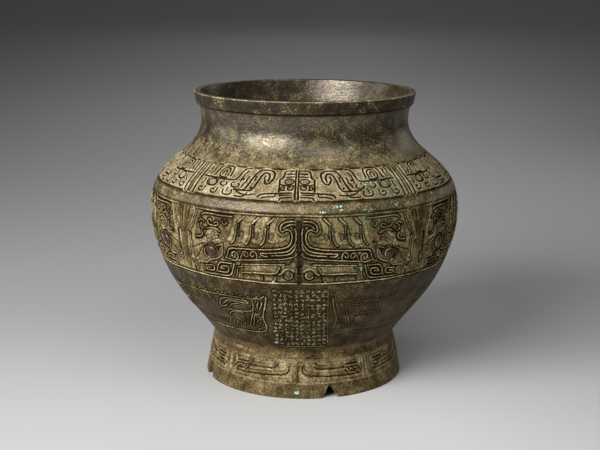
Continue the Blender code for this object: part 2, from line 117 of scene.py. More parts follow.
def mottle(places: np.ndarray, size: float, seed: int, octaves: int = 1) -> np.ndarray:
    """Smooth value noise in space, continuous over every piece.

    Args:
        places: points in metres, last axis x, y, z.
        size: width of the largest blobs in metres.
        seed: picks the field.
        octaves: how many times a half-size, half-strength copy is added.

    Returns:
        Numbers from -1 to 1.
    """
    total, strength, weight = 0.0, 1.0, 0.0
    for octave in range(octaves):
        spot = places / (size / 2 ** octave) + 500.0
        corner = np.floor(spot).astype(np.int64)
        part = spot - corner
        part = part * part * (3 - 2 * part)
        value = 0.0
        for step in range(8):
            shift = np.array([step & 1, step >> 1 & 1, step >> 2 & 1])
            near = np.where(shift == 1, part, 1 - part).prod(axis=-1)
            value = value + near * lattice(corner + shift, seed + octave)
        total = total + strength * (2 * value - 1)
        weight += strength
        strength *= 0.5
    return total / weight


def patches(places: np.ndarray, size: float, seed: int, octaves: int) -> np.ndarray:
    """The same noise from 0 to 1."""
    return 0.5 + 0.5 * mottle(places, size, seed, octaves)


def spread(values: np.ndarray, reach: int) -> np.ndarray:
    """Averages a grid over a square of cells, twice, by differences of running sums.

    Args:
        values: numbers on a grid.
        reach: cells to each side.

    Returns:
        The averaged grid.
    """
    for _ in range(2):
        for axis in (0, 1):
            ends = [(reach + 1, reach) if side == axis else (0, 0) for side in (0, 1)]
            sums = np.cumsum(np.pad(values, ends, mode="edge"), axis=axis)
            size, whole = values.shape[axis], 2 * reach + 1
            ahead = np.take(sums, np.arange(whole, whole + size), axis=axis)
            values = (ahead - np.take(sums, np.arange(size), axis=axis)) / whole
    return values


def soften(points: np.ndarray, rounds: int, closed: bool = False) -> np.ndarray:
    """Rounds a broken line by cutting its corners: each side keeps its middle half.

    Args:
        points: corners of the line.
        rounds: how many times the corners are cut.
        closed: joins the last point to the first.

    Returns:
        The rounded line's points.
    """
    line = points
    for _ in range(rounds):
        after = np.roll(line, -1, axis=0) if closed else line[1:]
        before = line if closed else line[:-1]
        cut = np.stack([0.75 * before + 0.25 * after, 0.25 * before + 0.75 * after], axis=1)
        cut = cut.reshape(-1, 2)
        line = cut if closed else np.vstack([line[:1], cut[1:-1], line[-1:]])
    return line


def ring_of(centre: tuple[float, float], radii: tuple[float, float], start: float = 0,
            end: float = 360, count: int = 20) -> np.ndarray:
    """Run along an ellipse: centre plus radii times cosine and sine of an angle in degrees.

    Args:
        centre: middle, in thousandths.
        radii: half widths, in thousandths.
        start: first angle, anticlockwise from the right.
        end: last angle.
        count: how many points.

    Returns:
        The run.
    """
    turn = np.radians(np.linspace(start, end, count))
    across, up = centre[0] + radii[0] * np.cos(turn), centre[1] + radii[1] * np.sin(turn)
    return np.stack([across, up], axis=1).ravel()


def moved(run: Run, across: float, up: float = 0) -> np.ndarray:
    """A run shifted across and up."""
    return (np.array(run, float).reshape(-1, 2) + (across, up)).ravel()


def around(radius: np.ndarray, bearing: np.ndarray, level: np.ndarray) -> np.ndarray:
    """Points of the turned shape: radius times sine, minus radius times cosine, height.

    Args:
        radius: distance from the axis.
        bearing: angle from the front, in radians.
        level: height.

    Returns:
        Points in metres.
    """
    parts = np.broadcast_arrays(radius * np.sin(bearing), -radius * np.cos(bearing), level)
    return np.stack(parts, axis=-1)


# The turned shape

@dataclass(frozen=True)
class TurnedProfile:
    """Radii of the turned body by height in metres: straight in the foot, one easy curve above."""

    foot_heights: tuple[float, ...] = (0.0, RIM_TOP, FOOT_TOP, WAIST)
    foot_radii: tuple[float, ...] = (0.1186, 0.1152, 0.1095, 0.1066)
    body_heights: tuple[float, ...] = (WAIST, LOWER_PANEL[0], 0.10825, LOWER_PANEL[1], 0.2108,
                                       MAIN_TOP, RIDGE_TOP, 0.2545, SHOULDER_TOP, 0.3060, 0.3252)
    body_radii: tuple[float, ...] = (0.1066, 0.1249, 0.1503, 0.1685, 0.1823, 0.1790, 0.1736,
                                     0.1605, 0.1422, 0.1216, 0.1245)
    foot_inner_top: float = 0.043
    wall: float = 0.004
    lip_bottom_radius: float = 0.1274
    lip_top_radius: float = 0.1303
    lip_width: float = 0.0078
    height: float = 0.340
    slope_step: float = 0.0005

    def outer(self, z: np.ndarray) -> np.ndarray:
        """Outer radius: a natural cubic through the key circles, or straight lines in the foot.

        Args:
            z: heights in metres, below the lip.

        Returns:
            Radii in metres.
        """
        z = np.asarray(z, float)
        knots, values = np.array(self.body_heights), np.array(self.body_radii)
        steps = np.diff(knots)
        slopes = np.diff(values) / steps
        matrix = np.eye(len(knots))
        right = np.zeros(len(knots))
        rows = np.arange(1, len(knots) - 1)
        matrix[rows, rows - 1] = steps[:-1]
        matrix[rows, rows] = 2 * (steps[:-1] + steps[1:])
        matrix[rows, rows + 1] = steps[1:]
        right[rows] = 6 * np.diff(slopes)
        bend = np.linalg.solve(matrix, right)
        low = np.clip(np.searchsorted(knots, z) - 1, 0, len(knots) - 2)
        after, before, step = z - knots[low], knots[low + 1] - z, steps[low]
        curve = ((bend[low] * before ** 3 + bend[low + 1] * after ** 3) / (6 * step)
                 + (values[low] / step - bend[low] * step / 6) * before
                 + (values[low + 1] / step - bend[low + 1] * step / 6) * after)
        return np.where(z < knots[0], np.interp(z, self.foot_heights, self.foot_radii), curve)

    def foot_inner(self, z: np.ndarray) -> np.ndarray:
        """Inner radius of the foot ring: straight from the ground to just under the floor."""
        top = float(self.outer(self.foot_inner_top)) - self.wall
        return np.interp(z, (0.0, self.foot_inner_top), (self.foot_radii[0] - self.wall, top))

    def normal(self, z: np.ndarray) -> tuple[np.ndarray, np.ndarray]:
        """Outward direction square to the profile.

        Args:
            z: heights in metres.

        Returns:
            Its part along the radius and its part along the height.
        """
        step = self.slope_step
        slope = (self.outer(z + step) - self.outer(z - step)) / (2 * step)
        length = np.sqrt(1 + slope ** 2)
        return 1 / length, -slope / length

    def is_outside(self, places: np.ndarray, margin: float) -> np.ndarray:
        """Which places lie on the outer wall or at most a margin inside it."""
        radius = np.hypot(places[..., 0], places[..., 1])
        return radius > self.outer(np.clip(places[..., 2], 0.0, THROAT)) - margin


PROFILE = TurnedProfile()


# Drawing the carving

@dataclass
class Carving:
    """Flat drawing of part of a band, on a grid of places in metres.

    across runs from a panel's centre line to its divider, up from the band's foot to its top. The
    parts are joined by the higher of the two: height of the forms, crown of the threads, depth of
    the cuts and of the trenches beside threads, and how clean of earth the cuts are.
    """

    across: np.ndarray
    up: np.ndarray
    size: tuple[float, float]
    height: np.ndarray = field(init=False)
    crown: np.ndarray = field(init=False)
    cut: np.ndarray = field(init=False)
    clean: np.ndarray = field(init=False)
    trench: np.ndarray = field(init=False)
    stains: np.ndarray = field(init=False)

    def __post_init__(self) -> None:
        """Starts with bare, level ground."""
        for name in ("height", "crown", "cut", "clean", "trench"):
            setattr(self, name, np.zeros_like(self.across))
        self.stains = np.zeros(self.across.shape + (len(Stain),))

    def line(self, run: Run, rounds: int = 2, closed: bool = False) -> np.ndarray:
        """A run's rounded line, as points in metres."""
        points = np.asarray(run, float).reshape(-1, 2) / 1000
        return soften(points, rounds, closed) * np.array(self.size)

    def near(self, line: np.ndarray, reach: float) -> np.ndarray:
        """Which places lie in the line's box, grown by a reach."""
        low, high = line.min(axis=0) - reach, line.max(axis=0) + reach
        return ((self.across > low[0]) & (self.across < high[0])
                & (self.up > low[1]) & (self.up < high[1]))

    @staticmethod
    def distance(x: np.ndarray, y: np.ndarray, line: np.ndarray, widths: np.ndarray) -> np.ndarray:
        """Distance to a line of changing half width: the least over its segments, less that width.

        Args:
            x: places across.
            y: places up.
            line: the line's points.
            widths: half width at each point.

        Returns:
            Distance outside the line's edge, negative inside it.
        """
        least = np.full(x.shape, np.inf)
        for start, end, wide, last in zip(line[:-1], line[1:], widths[:-1], widths[1:]):
            along = end - start
            length = max(float(along @ along), 1e-12)
            share = ((x - start[0]) * along[0] + (y - start[1]) * along[1]) / length
            share = np.clip(share, 0, 1)
            gap = np.hypot(x - start[0] - share * along[0], y - start[1] - share * along[1])
            least = np.minimum(least, gap - wide - (last - wide) * share)
        return least

    @staticmethod
    def inside(x: np.ndarray, y: np.ndarray, outline: np.ndarray) -> np.ndarray:
        """Which places lie in an outline: an odd number of its sides cross a ray to the right."""
        odd = np.zeros(x.shape, bool)
        for start, end in zip(outline, np.roll(outline, -1, axis=0)):
            spans = (start[1] > y) != (end[1] > y)
            rise = end[1] - start[1]
            reach = start[0] + (y - start[1]) / (rise if rise else 1e-12) * (end[0] - start[0])
            odd ^= spans & (x < reach)
        return odd

    def gap(self, where: np.ndarray, line: np.ndarray, width: float) -> np.ndarray:
        """Distance from a line's middle, as a share of its width in millimetres."""
        bare = np.zeros(len(line))
        return self.distance(self.across[where], self.up[where], line, bare) / (width * MM)

    def lift(self, where: np.ndarray, edge: np.ndarray, rise: float, bevel: float) -> None:
        """Raises places by a rise that eases over a bevel centred on the form's edge."""
        raised = rise * MM * smooth(-edge, -bevel * MM / 2, bevel * MM / 2)
        self.height[where] = np.maximum(self.height[where], raised)

    def form(self, run: Run, rise: float, bevel: float = 1.05, rounds: int = 2) -> None:
        """A raised form with a closed outline.

        Args:
            run: its corners.
            rise: its height over the ground in millimetres.
            bevel: width of its sloping side in millimetres.
            rounds: how much its corners are rounded.
        """
        outline = self.line(run, rounds, closed=True)
        where = self.near(outline, 2 * bevel * MM)
        x, y = self.across[where], self.up[where]
        closed = np.vstack([outline, outline[:1]])
        edge = self.distance(x, y, closed, np.zeros(len(closed)))
        self.lift(where, np.where(self.inside(x, y, outline), -edge, edge), rise, bevel)

    def bar(self, run: Run, width: float, rise: float = 1.1, end_width: float | None = None,
            bevel: float = 0.95, rounds: int = 2) -> None:
        """A raised line.

        Args:
            run: its course.
            width: its width at its start in millimetres.
            rise: its height over the ground in millimetres.
            end_width: its width at its end, where it differs.
            bevel: width of its sloping side in millimetres.
            rounds: how much its corners are rounded.
        """
        line = self.line(run, rounds)
        where = self.near(line, (width / 2 + 2 * bevel) * MM)
        last = width if end_width is None else end_width
        widths = np.linspace(width, last, len(line)) / 2 * MM
        edge = self.distance(self.across[where], self.up[where], line, widths)
        self.lift(where, edge, rise, bevel)

    def thread(self, run: Run, width: float = 1.10, rise: float = 0.35, wear: float = 0.95,
               rounds: int = 1, trench: float = 0.80) -> None:
        """A fine raised line with a light, worn crown, and a trench at both sides that later gets
        painted shade.

        Args:
            run: its course.
            width: its width at half its height in millimetres.
            rise: its height over what lies under it in millimetres.
            wear: how light its crown is, from 0 to 1.
            rounds: how much its corners are rounded.
            trench: how deep the trenches beside it are in millimetres.
        """
        line = self.line(run, rounds)
        where = self.near(line, (width + 2) * MM)
        gap = self.gap(where, line, width)
        crown = rise * MM * (1 - smooth(gap, 0.15, 0.85))
        self.crown[where] = np.maximum(self.crown[where], crown)
        light = self.stains[..., Stain.DEPOSIT]
        light[where] = np.maximum(light[where], wear * (1 - smooth(gap, 0.30, 0.66)))
        beyond = (gap - 0.5) * width
        side = smooth(beyond, -0.12, 0.20) * (1 - smooth(beyond, 1.15, 2.05))
        # The trench's depth later sets painted shade beside the thread
        self.trench[where] = np.maximum(self.trench[where], trench * MM * side)

    def groove(self, run: Run, width: float, depth: float, deposit: float = 0.0, rounds: int = 2,
               edge: float = 0.0) -> None:
        """A cut line with a rounded bed, the earth that lies in it, and its light edges, worn and
        painted as highlight.

        Args:
            run: its course.
            width: its width in millimetres.
            depth: its depth in millimetres.
            deposit: how much earth it holds, from 0 to 1.
            rounds: how much its corners are rounded.
            edge: how light its edges are, worn and painted as highlight, from 0 to 1.
        """
        line = self.line(run, rounds)
        where = self.near(line, 3 * width * MM)
        gap = self.gap(where, line, width)
        bed = depth * MM * (1 - smooth(gap, 0.15, 0.72))
        self.cut[where] = np.maximum(self.cut[where], bed)
        swept = (1 - deposit) * (1 - smooth(gap, 0.40, 0.66))
        self.clean[where] = np.maximum(self.clean[where], swept)
        # Light edges: wear, and painted highlight where the edges catch the light
        light = self.stains[..., Stain.DEPOSIT]
        rim = smooth(gap, 0.50, 0.80) * (1 - smooth(gap, 1.0, 1.6))
        light[where] = np.maximum(light[where], edge * rim)

    def boss(self, centre: tuple[float, float], radius: float, rise: float,
             polish: float = 1.0) -> None:
        """A domed eye: rise times the root of one less the square of the share of its radius.

        Args:
            centre: its place, in thousandths.
            radius: its radius in millimetres.
            rise: its height over the ground in millimetres.
            polish: how bare and shiny it is.
        """
        spot = np.array(centre) / 1000 * np.array(self.size)
        gap = np.hypot(self.across - spot[0], self.up - spot[1]) / (radius * MM)
        dome = rise * MM * np.sqrt(np.clip(1 - gap ** 2, 0, 1))
        self.height = np.maximum(self.height, dome)
        inside = 1 - smooth(gap, 0.85, 1.0)
        for part in (self.cut, self.crown, self.trench, self.stains[..., Stain.DEPOSIT]):
            part *= 1 - inside
        for stain in (Stain.POLISH, Stain.WARMTH):
            layer = self.stains[..., stain]
            np.maximum(layer, polish * inside, out=layer)


# What is drawn on each band

def mirror_strip(carving: Carving, width: float, rise: float, low: float, high: float) -> None:
    """The plain upright on the panel's centre line, its width and rise in millimetres."""
    carving.bar((-4, low, -4, high), width, rise, bevel=1.6, rounds=0)


def feathers(carving: Carving) -> None:
    """Three curved feathers over the plume, each with a barb, lit edges painted light as highlight
    and a cut beside it.
    """
    for number in range(3):
        root = 236 + 117 * number
        carving.bar(moved((-45, 955, -18, 895, 4, 830, 6, 720, 12, 655, 32, 585), root), 2.4, 1.2,
                    end_width=3.6)
        carving.bar(moved((4, 680, -16, 690, -30, 715), root), 2.2, 0.8, end_width=1.0)
        carving.groove(moved((-58, 930, -34, 890, -12, 845, -10, 740, -6, 660), root), 1.1, 0.5)
        # Edges painted light as highlight on the side towards the lamp
        for course, width, rise, wear in FEATHER_EDGES:
            carving.thread(moved(course, root), width, rise, wear)


def cheek_lines(carving: Carving) -> None:
    """The fans of fine lines between the eye and the divider, and the divider's folds."""
    for number in range(6):
        shift = 24 * number
        carving.thread((775 + shift, 500 - 0.7 * shift, 818 + shift, 450 - shift,
                        842 + 0.8 * shift, 392 - shift, 862 + 0.6 * shift, 330 - shift),
                       width=1.0, rise=0.25, wear=0.62, trench=0.25)
    for number in range(4):
        shift = 28 * number
        carving.thread((850 + 0.5 * shift, 235 - 1.5 * shift, 915, 165 - 1.7 * shift),
                       width=1.0, rise=0.25, wear=0.66, rounds=0, trench=0.25)
    for number in range(2):
        carving.groove((990 - 6 * number, 620, 984 - 22 * number, 780, 978 - 36 * number, 965),
                       width=2.6, depth=0.45, deposit=0.45)


def main_mask(carving: Carving) -> None:
    """Half of a main panel: hooked plume and ribs, feathers, ear, eye, jaw, cheek and nostril."""
    for outline, rise, rounds in MAIN_FORMS:
        carving.form(outline, rise, rounds=rounds)
    mirror_strip(carving, 6.0, 1.25, 30, 970)
    carving.groove((-4, 30, -4, 900), width=4.6, depth=0.1, rounds=0)
    for course, width, rise, rounds in MAIN_BARS:
        carving.bar(course, width, rise, rounds=rounds)
    carving.bar((-50, 20, 1050, 20), 2.0, 1.0, bevel=1.0, rounds=0)
    carving.thread((-50, 20, 1050, 20), width=1.5, wear=1.0, rounds=0)
    carving.thread((-50, 982, 880, 982), width=1.3, rise=0.3, wear=0.8, rounds=0, trench=0.3)
    for course in MAIN_LINES:
        carving.thread(course)
    for course in MAIN_FINE_LINES:
        carving.thread(course, width=1.0, wear=0.85)
    for course in MAIN_CUTS:
        carving.groove(course, width=1.1, depth=0.45)
    feathers(carving)
    cheek_lines(carving)
    carving.groove(ring_of((717, 420), (54, 94)), width=2.2, depth=0.8, rounds=0)
    carving.boss((717, 420), 6.2, 4.2)
    carving.thread(ring_of((717, 420), (60, 105), 75, 300), width=1.1, rise=0.3, wear=0.8,
                   rounds=0)
    carving.boss((78, 146), 5.0, 1.7, polish=0.25)
    carving.groove(ring_of((78, 146), (42, 76)), width=2.3, depth=0.9, rounds=0)
    carving.thread(ring_of((78, 144), (29, 46), 130, 350), width=1.35, rise=0.6, rounds=0,
                   trench=0.3)
    carving.thread((34, 205, 50, 234, 80, 247, 110, 232, 125, 198, 136, 165, 158, 158),
                   width=1.2, rise=0.5)
    # Small raised beads painted light as highlight spots
    for across, up, size in MAIN_BEADS:
        carving.thread((across, up, across + 6, up + 6), width=size, rise=0.4, wear=1.15,
                       rounds=0, trench=0.0)


def shoulder_mask(carving: Carving) -> None:
    """Half of a shoulder panel: small mask, hooked curl, slanting ribs, spiral and small eye."""
    carving.form((-50, 55, 1050, 55, 1050, 955, -50, 955), rise=0.95, rounds=0)
    for course, width in SHOULDER_LINES:
        carving.groove(course, width=1.12 * width, depth=1.25, edge=1.0)
    carving.boss((60, 590), 3.0, 1.5, polish=0.2)
    carving.groove(ring_of((66, 590), (40, 85)), width=1.4, depth=0.9, rounds=0, edge=0.9)
    carving.boss((783, 425), 3.2, 1.7, polish=0.2)
    carving.groove(ring_of((783, 425), (42, 105)), width=1.5, depth=1.0, rounds=0, edge=0.9)
    for spot in ((375, 690), (378, 610), (392, 370), (485, 605)):
        carving.groove(ring_of(spot, (6, 18), count=8), width=1.4, depth=0.8, rounds=0, edge=0.8)


def foot_dragons(carving: Carving) -> None:
    """Half of a foot panel: a long-bodied beast in level ribs, each with a cut under it as a
    painted shadow line, and hooked ticks under the beast.
    """
    mirror_strip(carving, 4.6, 1.3, 100, 900)
    for course, width, end_width in FOOT_RIBS:
        carving.bar(course, width, 0.95, end_width=end_width)
        # A cut just under each rib, darkened as a painted shadow line
        carving.groove(moved(course, 0, -82), width=1.3, depth=0.7, edge=0.75)
    for course in FOOT_TICKS:
        carving.bar(course, 1.9, 0.8)
    carving.bar((945, 100, 945, 860), 2.2, 0.9)
    for edge in (905, 55):
        carving.bar((-50, edge, 1050, edge), 1.8, 0.6, rounds=0)
    carving.groove(ring_of((835, 400), (18, 60)), width=1.2, depth=0.6, rounds=0)


def lower_panel(carving: Carving) -> None:
    """Half of a lower panel, cut into the plain wall: frame, nested curls, worn eye and fringe."""
    for course, width in LOWER_LINES:
        carving.thread(course, width=0.74 * width, wear=0.78, trench=0.40)
    fringe = [(360 + 75 * n, 862, 384 + 75 * n, 838, 0.65) for n in range(10)]
    fringe += [(845 + 50 * n, 775, 837 + 50 * n, 660, 0.60) for n in range(5)]
    fringe += [(575 + 50 * n, 305 - 8 * n, 605 + 50 * n, 185, 0.60) for n in range(8)]
    for *course, wear in fringe:
        carving.thread(course, width=1.0, rise=0.3, wear=wear, rounds=0, trench=0.3)
    carving.boss((612, 400), 8.0, 1.5, polish=0.1)


# Outline, rise in millimetres and rounding of the main panel's forms
MAIN_FORMS: tuple[tuple[Run, float, int], ...] = (
    ((24, 955, 85, 957, 135, 952, 152, 925, 162, 870, 166, 810, 173, 775, 166, 742, 148, 720, 125,
      708, 100, 716, 86, 734, 78, 700, 85, 655, 105, 620, 150, 598, 210, 586, 300, 572, 450, 568,
      530, 572, 585, 580, 608, 558, 605, 500, 602, 420, 618, 355, 660, 310, 720, 272, 765, 238, 800,
      216, 835, 205, 842, 120, 838, 35, 525, 35, 503, 100, 478, 200, 440, 262, 400, 284, 200, 294,
      24, 300), 1.25, 2),
    ((495, 962, 515, 900, 528, 800, 540, 700, 560, 645, 590, 607, 620, 604, 645, 632, 652, 665, 642,
      705, 655, 738, 700, 742, 735, 722, 756, 690, 768, 640, 788, 585, 830, 558, 876, 556, 868, 600,
      852, 680, 846, 800, 832, 890, 810, 940, 750, 962, 620, 964), 1.2, 2),
    ((622, 525, 660, 538, 720, 542, 775, 515, 812, 460, 838, 400, 848, 330, 862, 272, 805, 262, 770,
      300, 740, 335, 700, 350, 665, 372, 642, 420, 626, 470), 0.75, 2),
    ((24, 45, 28, 200, 50, 232, 85, 243, 115, 224, 132, 185, 137, 120, 122, 60, 100, 40), 0.9, 2),
    ((1060, 10, 1060, 990, 900, 990, 908, 880, 926, 780, 952, 680, 974, 580, 979, 10), 1.15, 1),
)
# Course, width and rise in millimetres, and rounding of its bars
MAIN_BARS: tuple[tuple[Run, float, float, int], ...] = (
    ((130, 150, 290, 140, 455, 126), 3.6, 1.25, 1),
    ((145, 262, 163, 205, 170, 85, 192, 45), 2.6, 1.1, 2),
    ((447, 245, 455, 150, 452, 50), 2.8, 1.15, 2),
    ((290, 125, 288, 45), 2.4, 0.8, 2),
    ((926, 640, 931, 500, 931, 30), 2.0, 0.95, 1),
)
# Course from the feather's root, width and rise in millimetres, and lightness of its lit edges, a
# painted highlight
FEATHER_EDGES: tuple[tuple[Run, float, float, float], ...] = (
    ((-46, 945, -26, 905, 2, 862), 1.4, 0.5, 1.1),
    ((14, 800, 18, 720, 22, 655, 40, 590, 56, 572), 1.1, 0.45, 0.9),
    ((-36, 722, -22, 700, -30, 672), 1.1, 0.3, 0.75),
)
# Place across and up, and size in millimetres, of its small raised beads painted light as highlight
# spots
MAIN_BEADS = ((204, 34, 2.0), (926, 262, 2.0), (925, 145, 1.5), (756, 585, 1.5),
              (782, 530, 1.9), (750, 312, 1.8), (935, 792, 1.3), (520, 392, 1.4))
# Courses of its broad threads
MAIN_LINES: tuple[Run, ...] = (
    (30, 905, 90, 905, 125, 875, 141, 820, 137, 782, 122, 768, 108, 785, 90, 800, 70, 790, 53, 745,
     50, 660, 65, 590, 100, 548, 170, 525, 250, 512, 360, 508, 500, 507, 545, 495, 557, 455, 563,
     395, 586, 352),
    (586, 352, 550, 345, 525, 328, 500, 326, 483, 348, 473, 388, 477, 428, 492, 452, 512, 454, 527,
     430, 524, 400),
    (27, 860, 60, 866, 90, 850, 118, 812),
    (32, 812, 22, 770, 21, 650, 30, 600, 45, 565, 62, 522, 100, 490, 200, 467, 290, 460),
    (21, 595, 30, 530, 60, 470, 100, 446, 205, 430),
    (238, 420, 270, 418, 292, 445),
    (5, 480, 22, 440, 50, 412, 100, 392, 200, 376, 350, 360, 450, 347, 475, 335),
    (606, 545, 609, 480, 616, 405, 640, 346, 670, 315, 725, 292, 745, 272, 768, 240, 792, 222, 845,
     226, 882, 204),
    (516, 275, 532, 190, 548, 112, 570, 78, 610, 67, 710, 69, 822, 64),
    (534, 270, 590, 274, 640, 276, 662, 232, 676, 185, 688, 122, 640, 118, 592, 122, 575, 152, 567,
     205, 580, 224, 628, 218, 650, 172, 606, 175),
    (795, 186, 750, 196, 706, 208, 712, 130, 735, 119, 792, 114, 784, 158, 744, 158),
    (522, 928, 600, 926, 660, 932, 762, 936, 790, 922, 801, 902),
    (796, 700, 784, 655, 789, 622, 806, 600, 855, 594),
    (147, 264, 160, 225, 172, 182, 186, 168, 300, 160, 380, 158, 458, 148),
    (105, 312, 220, 302, 340, 296, 450, 280),
)
# Courses of its fine threads
MAIN_FINE_LINES: tuple[Run, ...] = (
    (324, 375, 322, 440, 335, 477, 360, 477, 374, 445, 370, 410, 350, 405, 348, 430),
    (455, 365, 445, 410, 430, 467, 408, 472, 392, 450, 392, 410, 404, 396, 424, 412, 420, 440),
    (563, 862, 563, 832, 578, 813, 594, 815, 604, 836, 600, 862),
    (674, 815, 658, 840, 640, 830, 634, 802, 650, 785, 682, 779, 714, 786, 732, 804, 738, 836, 728,
     866, 706, 862, 703, 838),
    (772, 818, 798, 844, 816, 828, 830, 808),
    (624, 710, 638, 738, 664, 748, 702, 750, 736, 732),
    (792, 802, 802, 782, 803, 756, 794, 732, 772, 722),
    (12, 268, 15, 185),
    (185, 120, 192, 70, 204, 40),
    (292, 112, 294, 55),
    (440, 250, 462, 238, 484, 238),
    (492, 200, 497, 140, 508, 90, 525, 50),
    (462, 130, 466, 55),
    (615, 530, 640, 516, 664, 506),
    (620, 490, 634, 445, 650, 385, 692, 330),
    (776, 452, 788, 405, 782, 352, 764, 326),
    (925, 620, 922, 450, 926, 300, 914, 100, 908, 50),
    (860, 955, 874, 860, 890, 760, 922, 690, 932, 655),
    (640, 640, 690, 612, 735, 560),
    (680, 690, 700, 640, 745, 610),
)
# Courses of its cut lines
MAIN_CUTS: tuple[Run, ...] = (
    (530, 946, 655, 942, 672, 957, 750, 957, 804, 932),
    (622, 748, 642, 768, 700, 769, 738, 746, 758, 742),
    (718, 724, 756, 700),
    (575, 850, 588, 840),
    (650, 806, 690, 800, 720, 822),
    (766, 642, 786, 592, 806, 568, 870, 550),
    (655, 700, 676, 668),
    (182, 144, 300, 136, 400, 134, 450, 122),
    (755, 288, 792, 244),
    (812, 905, 816, 880),
    (905, 760, 916, 730),
    (940, 665, 950, 635),
)
# Courses of the shoulder panel's cut lines, and how wide each is
SHOULDER_LINES: tuple[tuple[Run, float], ...] = (
    ((12, 960, 12, 470), 1.5),
    ((10, 440, 12, 80), 1.5),
    ((30, 930, 75, 950, 115, 920, 122, 800, 125, 700, 158, 640, 150, 560, 148, 300), 1.7),
    ((30, 830, 95, 830), 1.6),
    ((30, 740, 95, 730), 1.5),
    ((26, 470, 95, 470, 140, 500), 1.5),
    ((30, 440, 34, 345, 75, 335, 80, 440, 55, 420), 1.4),
    ((98, 335, 135, 340, 132, 440, 100, 430, 108, 375), 1.4),
    ((40, 260, 155, 245, 300, 215, 313, 130), 1.6),
    ((45, 205, 140, 195), 1.3),
    ((40, 140, 130, 130, 140, 70), 1.4),
    ((175, 200, 180, 140, 235, 150, 285, 100), 1.3),
    ((290, 620, 284, 530, 262, 490, 235, 530, 212, 680, 210, 840, 240, 925, 320, 945, 362, 900, 395,
      750, 415, 550, 438, 320, 462, 285), 1.8),
    ((258, 590, 250, 720, 262, 830, 300, 850, 326, 780, 346, 600, 358, 420, 380, 285, 430, 270, 540,
      290), 1.7),
    ((292, 745, 300, 660), 1.5),
    ((452, 955, 495, 945, 522, 850, 540, 660, 560, 555, 620, 545, 760, 560, 915, 575), 1.7),
    ((466, 860, 488, 800, 500, 680, 506, 520), 1.5),
    ((440, 700, 455, 600, 448, 520, 470, 500, 478, 370), 1.5),
    ((520, 470, 500, 400, 535, 330, 575, 360, 590, 450, 560, 500), 1.4),
    ((630, 660, 630, 930, 665, 968, 765, 955, 795, 880, 806, 640), 1.8),
    ((662, 660, 660, 850, 690, 905, 738, 900, 760, 800, 757, 660, 735, 600, 660, 600), 1.6),
    ((690, 665, 690, 790, 705, 835, 728, 800, 728, 680), 1.4),
    ((835, 920, 850, 860, 836, 770, 862, 660), 1.6),
    ((870, 950, 888, 840, 880, 740, 900, 640), 1.6),
    ((640, 470, 625, 400, 650, 350, 690, 370, 695, 470, 665, 500), 1.4),
    ((735, 520, 730, 320, 840, 310, 845, 520), 1.4),
    ((880, 500, 868, 400, 890, 330), 1.5),
    ((700, 280, 700, 160, 735, 110, 765, 170, 755, 250, 728, 220), 1.4),
    ((830, 280, 832, 160, 868, 110, 898, 170, 888, 250, 862, 220), 1.5),
    ((560, 260, 548, 150, 590, 110, 640, 140, 640, 250), 1.4),
    ((600, 320, 606, 200), 1.3),
    ((350, 200, 400, 150, 470, 180, 510, 240), 1.3),
    ((410, 220, 430, 100, 520, 110), 1.3),
    ((940, 960, 940, 70), 2.0),
    ((985, 960, 985, 70), 1.8),
)
# Courses of the foot panel's ribs, and their widths at start and end in millimetres
FOOT_RIBS: tuple[tuple[Run, float, float], ...] = (
    ((88, 800, 85, 600, 118, 470, 200, 410, 450, 370, 700, 360, 880, 360), 2.6, 2.2),
    ((245, 780, 275, 680, 360, 660, 600, 660, 655, 680, 628, 760), 2.2, 2.0),
    ((640, 665, 750, 655, 860, 640), 2.2, 1.6),
    ((675, 775, 760, 785, 855, 765), 2.4, 2.0),
    ((665, 580, 690, 500, 705, 400), 2.2, 1.8),
    ((715, 600, 745, 500, 790, 470, 815, 520, 775, 585), 2.0, 1.7),
    ((865, 580, 895, 500, 905, 430), 1.9, 1.6),
)
# Courses of the ticks under them
FOOT_TICKS: tuple[Run, ...] = (
    (205, 360, 218, 280, 200, 220),
    (425, 340, 435, 220),
    (380, 240, 405, 180, 470, 180),
    (560, 330, 560, 240),
    (650, 260, 655, 200),
    (700, 200, 760, 170),
    (742, 340, 765, 220, 785, 170),
    (850, 260, 875, 160),
    (300, 320, 330, 240),
)
# Courses of the lower panel's threads, and how wide each is
LOWER_LINES: tuple[tuple[Run, float], ...] = (
    ((285, 860, 302, 700, 330, 580, 350, 470, 360, 380, 352, 280, 362, 150, 395, 95, 470, 62, 700,
      55, 1060, 50), 1.9),
    ((300, 885, 345, 815, 600, 812, 1060, 800), 1.5),
    ((418, 800, 420, 680, 440, 585), 1.4),
    ((468, 715, 482, 768, 600, 766, 720, 755, 758, 700, 785, 610, 782, 565, 730, 580, 705, 620),
      1.7),
    ((478, 712, 600, 728, 680, 718, 705, 680, 728, 650), 1.5),
    ((560, 690, 640, 660, 672, 600), 1.3),
    ((440, 575, 500, 540, 600, 525, 700, 530, 800, 490), 1.6),
    ((550, 490, 600, 512, 660, 500, 710, 455, 735, 395), 1.6),
    ((440, 545, 478, 430, 500, 330, 540, 200), 1.5),
    ((415, 540, 452, 430, 470, 310, 500, 220), 1.4),
    ((352, 490, 362, 440, 405, 430, 425, 470, 415, 510, 388, 505, 390, 470), 1.4),
    ((375, 400, 405, 375, 432, 340, 430, 290, 405, 290, 408, 320), 1.4),
    ((375, 190, 430, 170, 470, 110), 1.3),
    ((330, 760, 350, 660, 372, 600), 1.3),
    ((362, 760, 382, 700, 388, 620), 1.2),
)


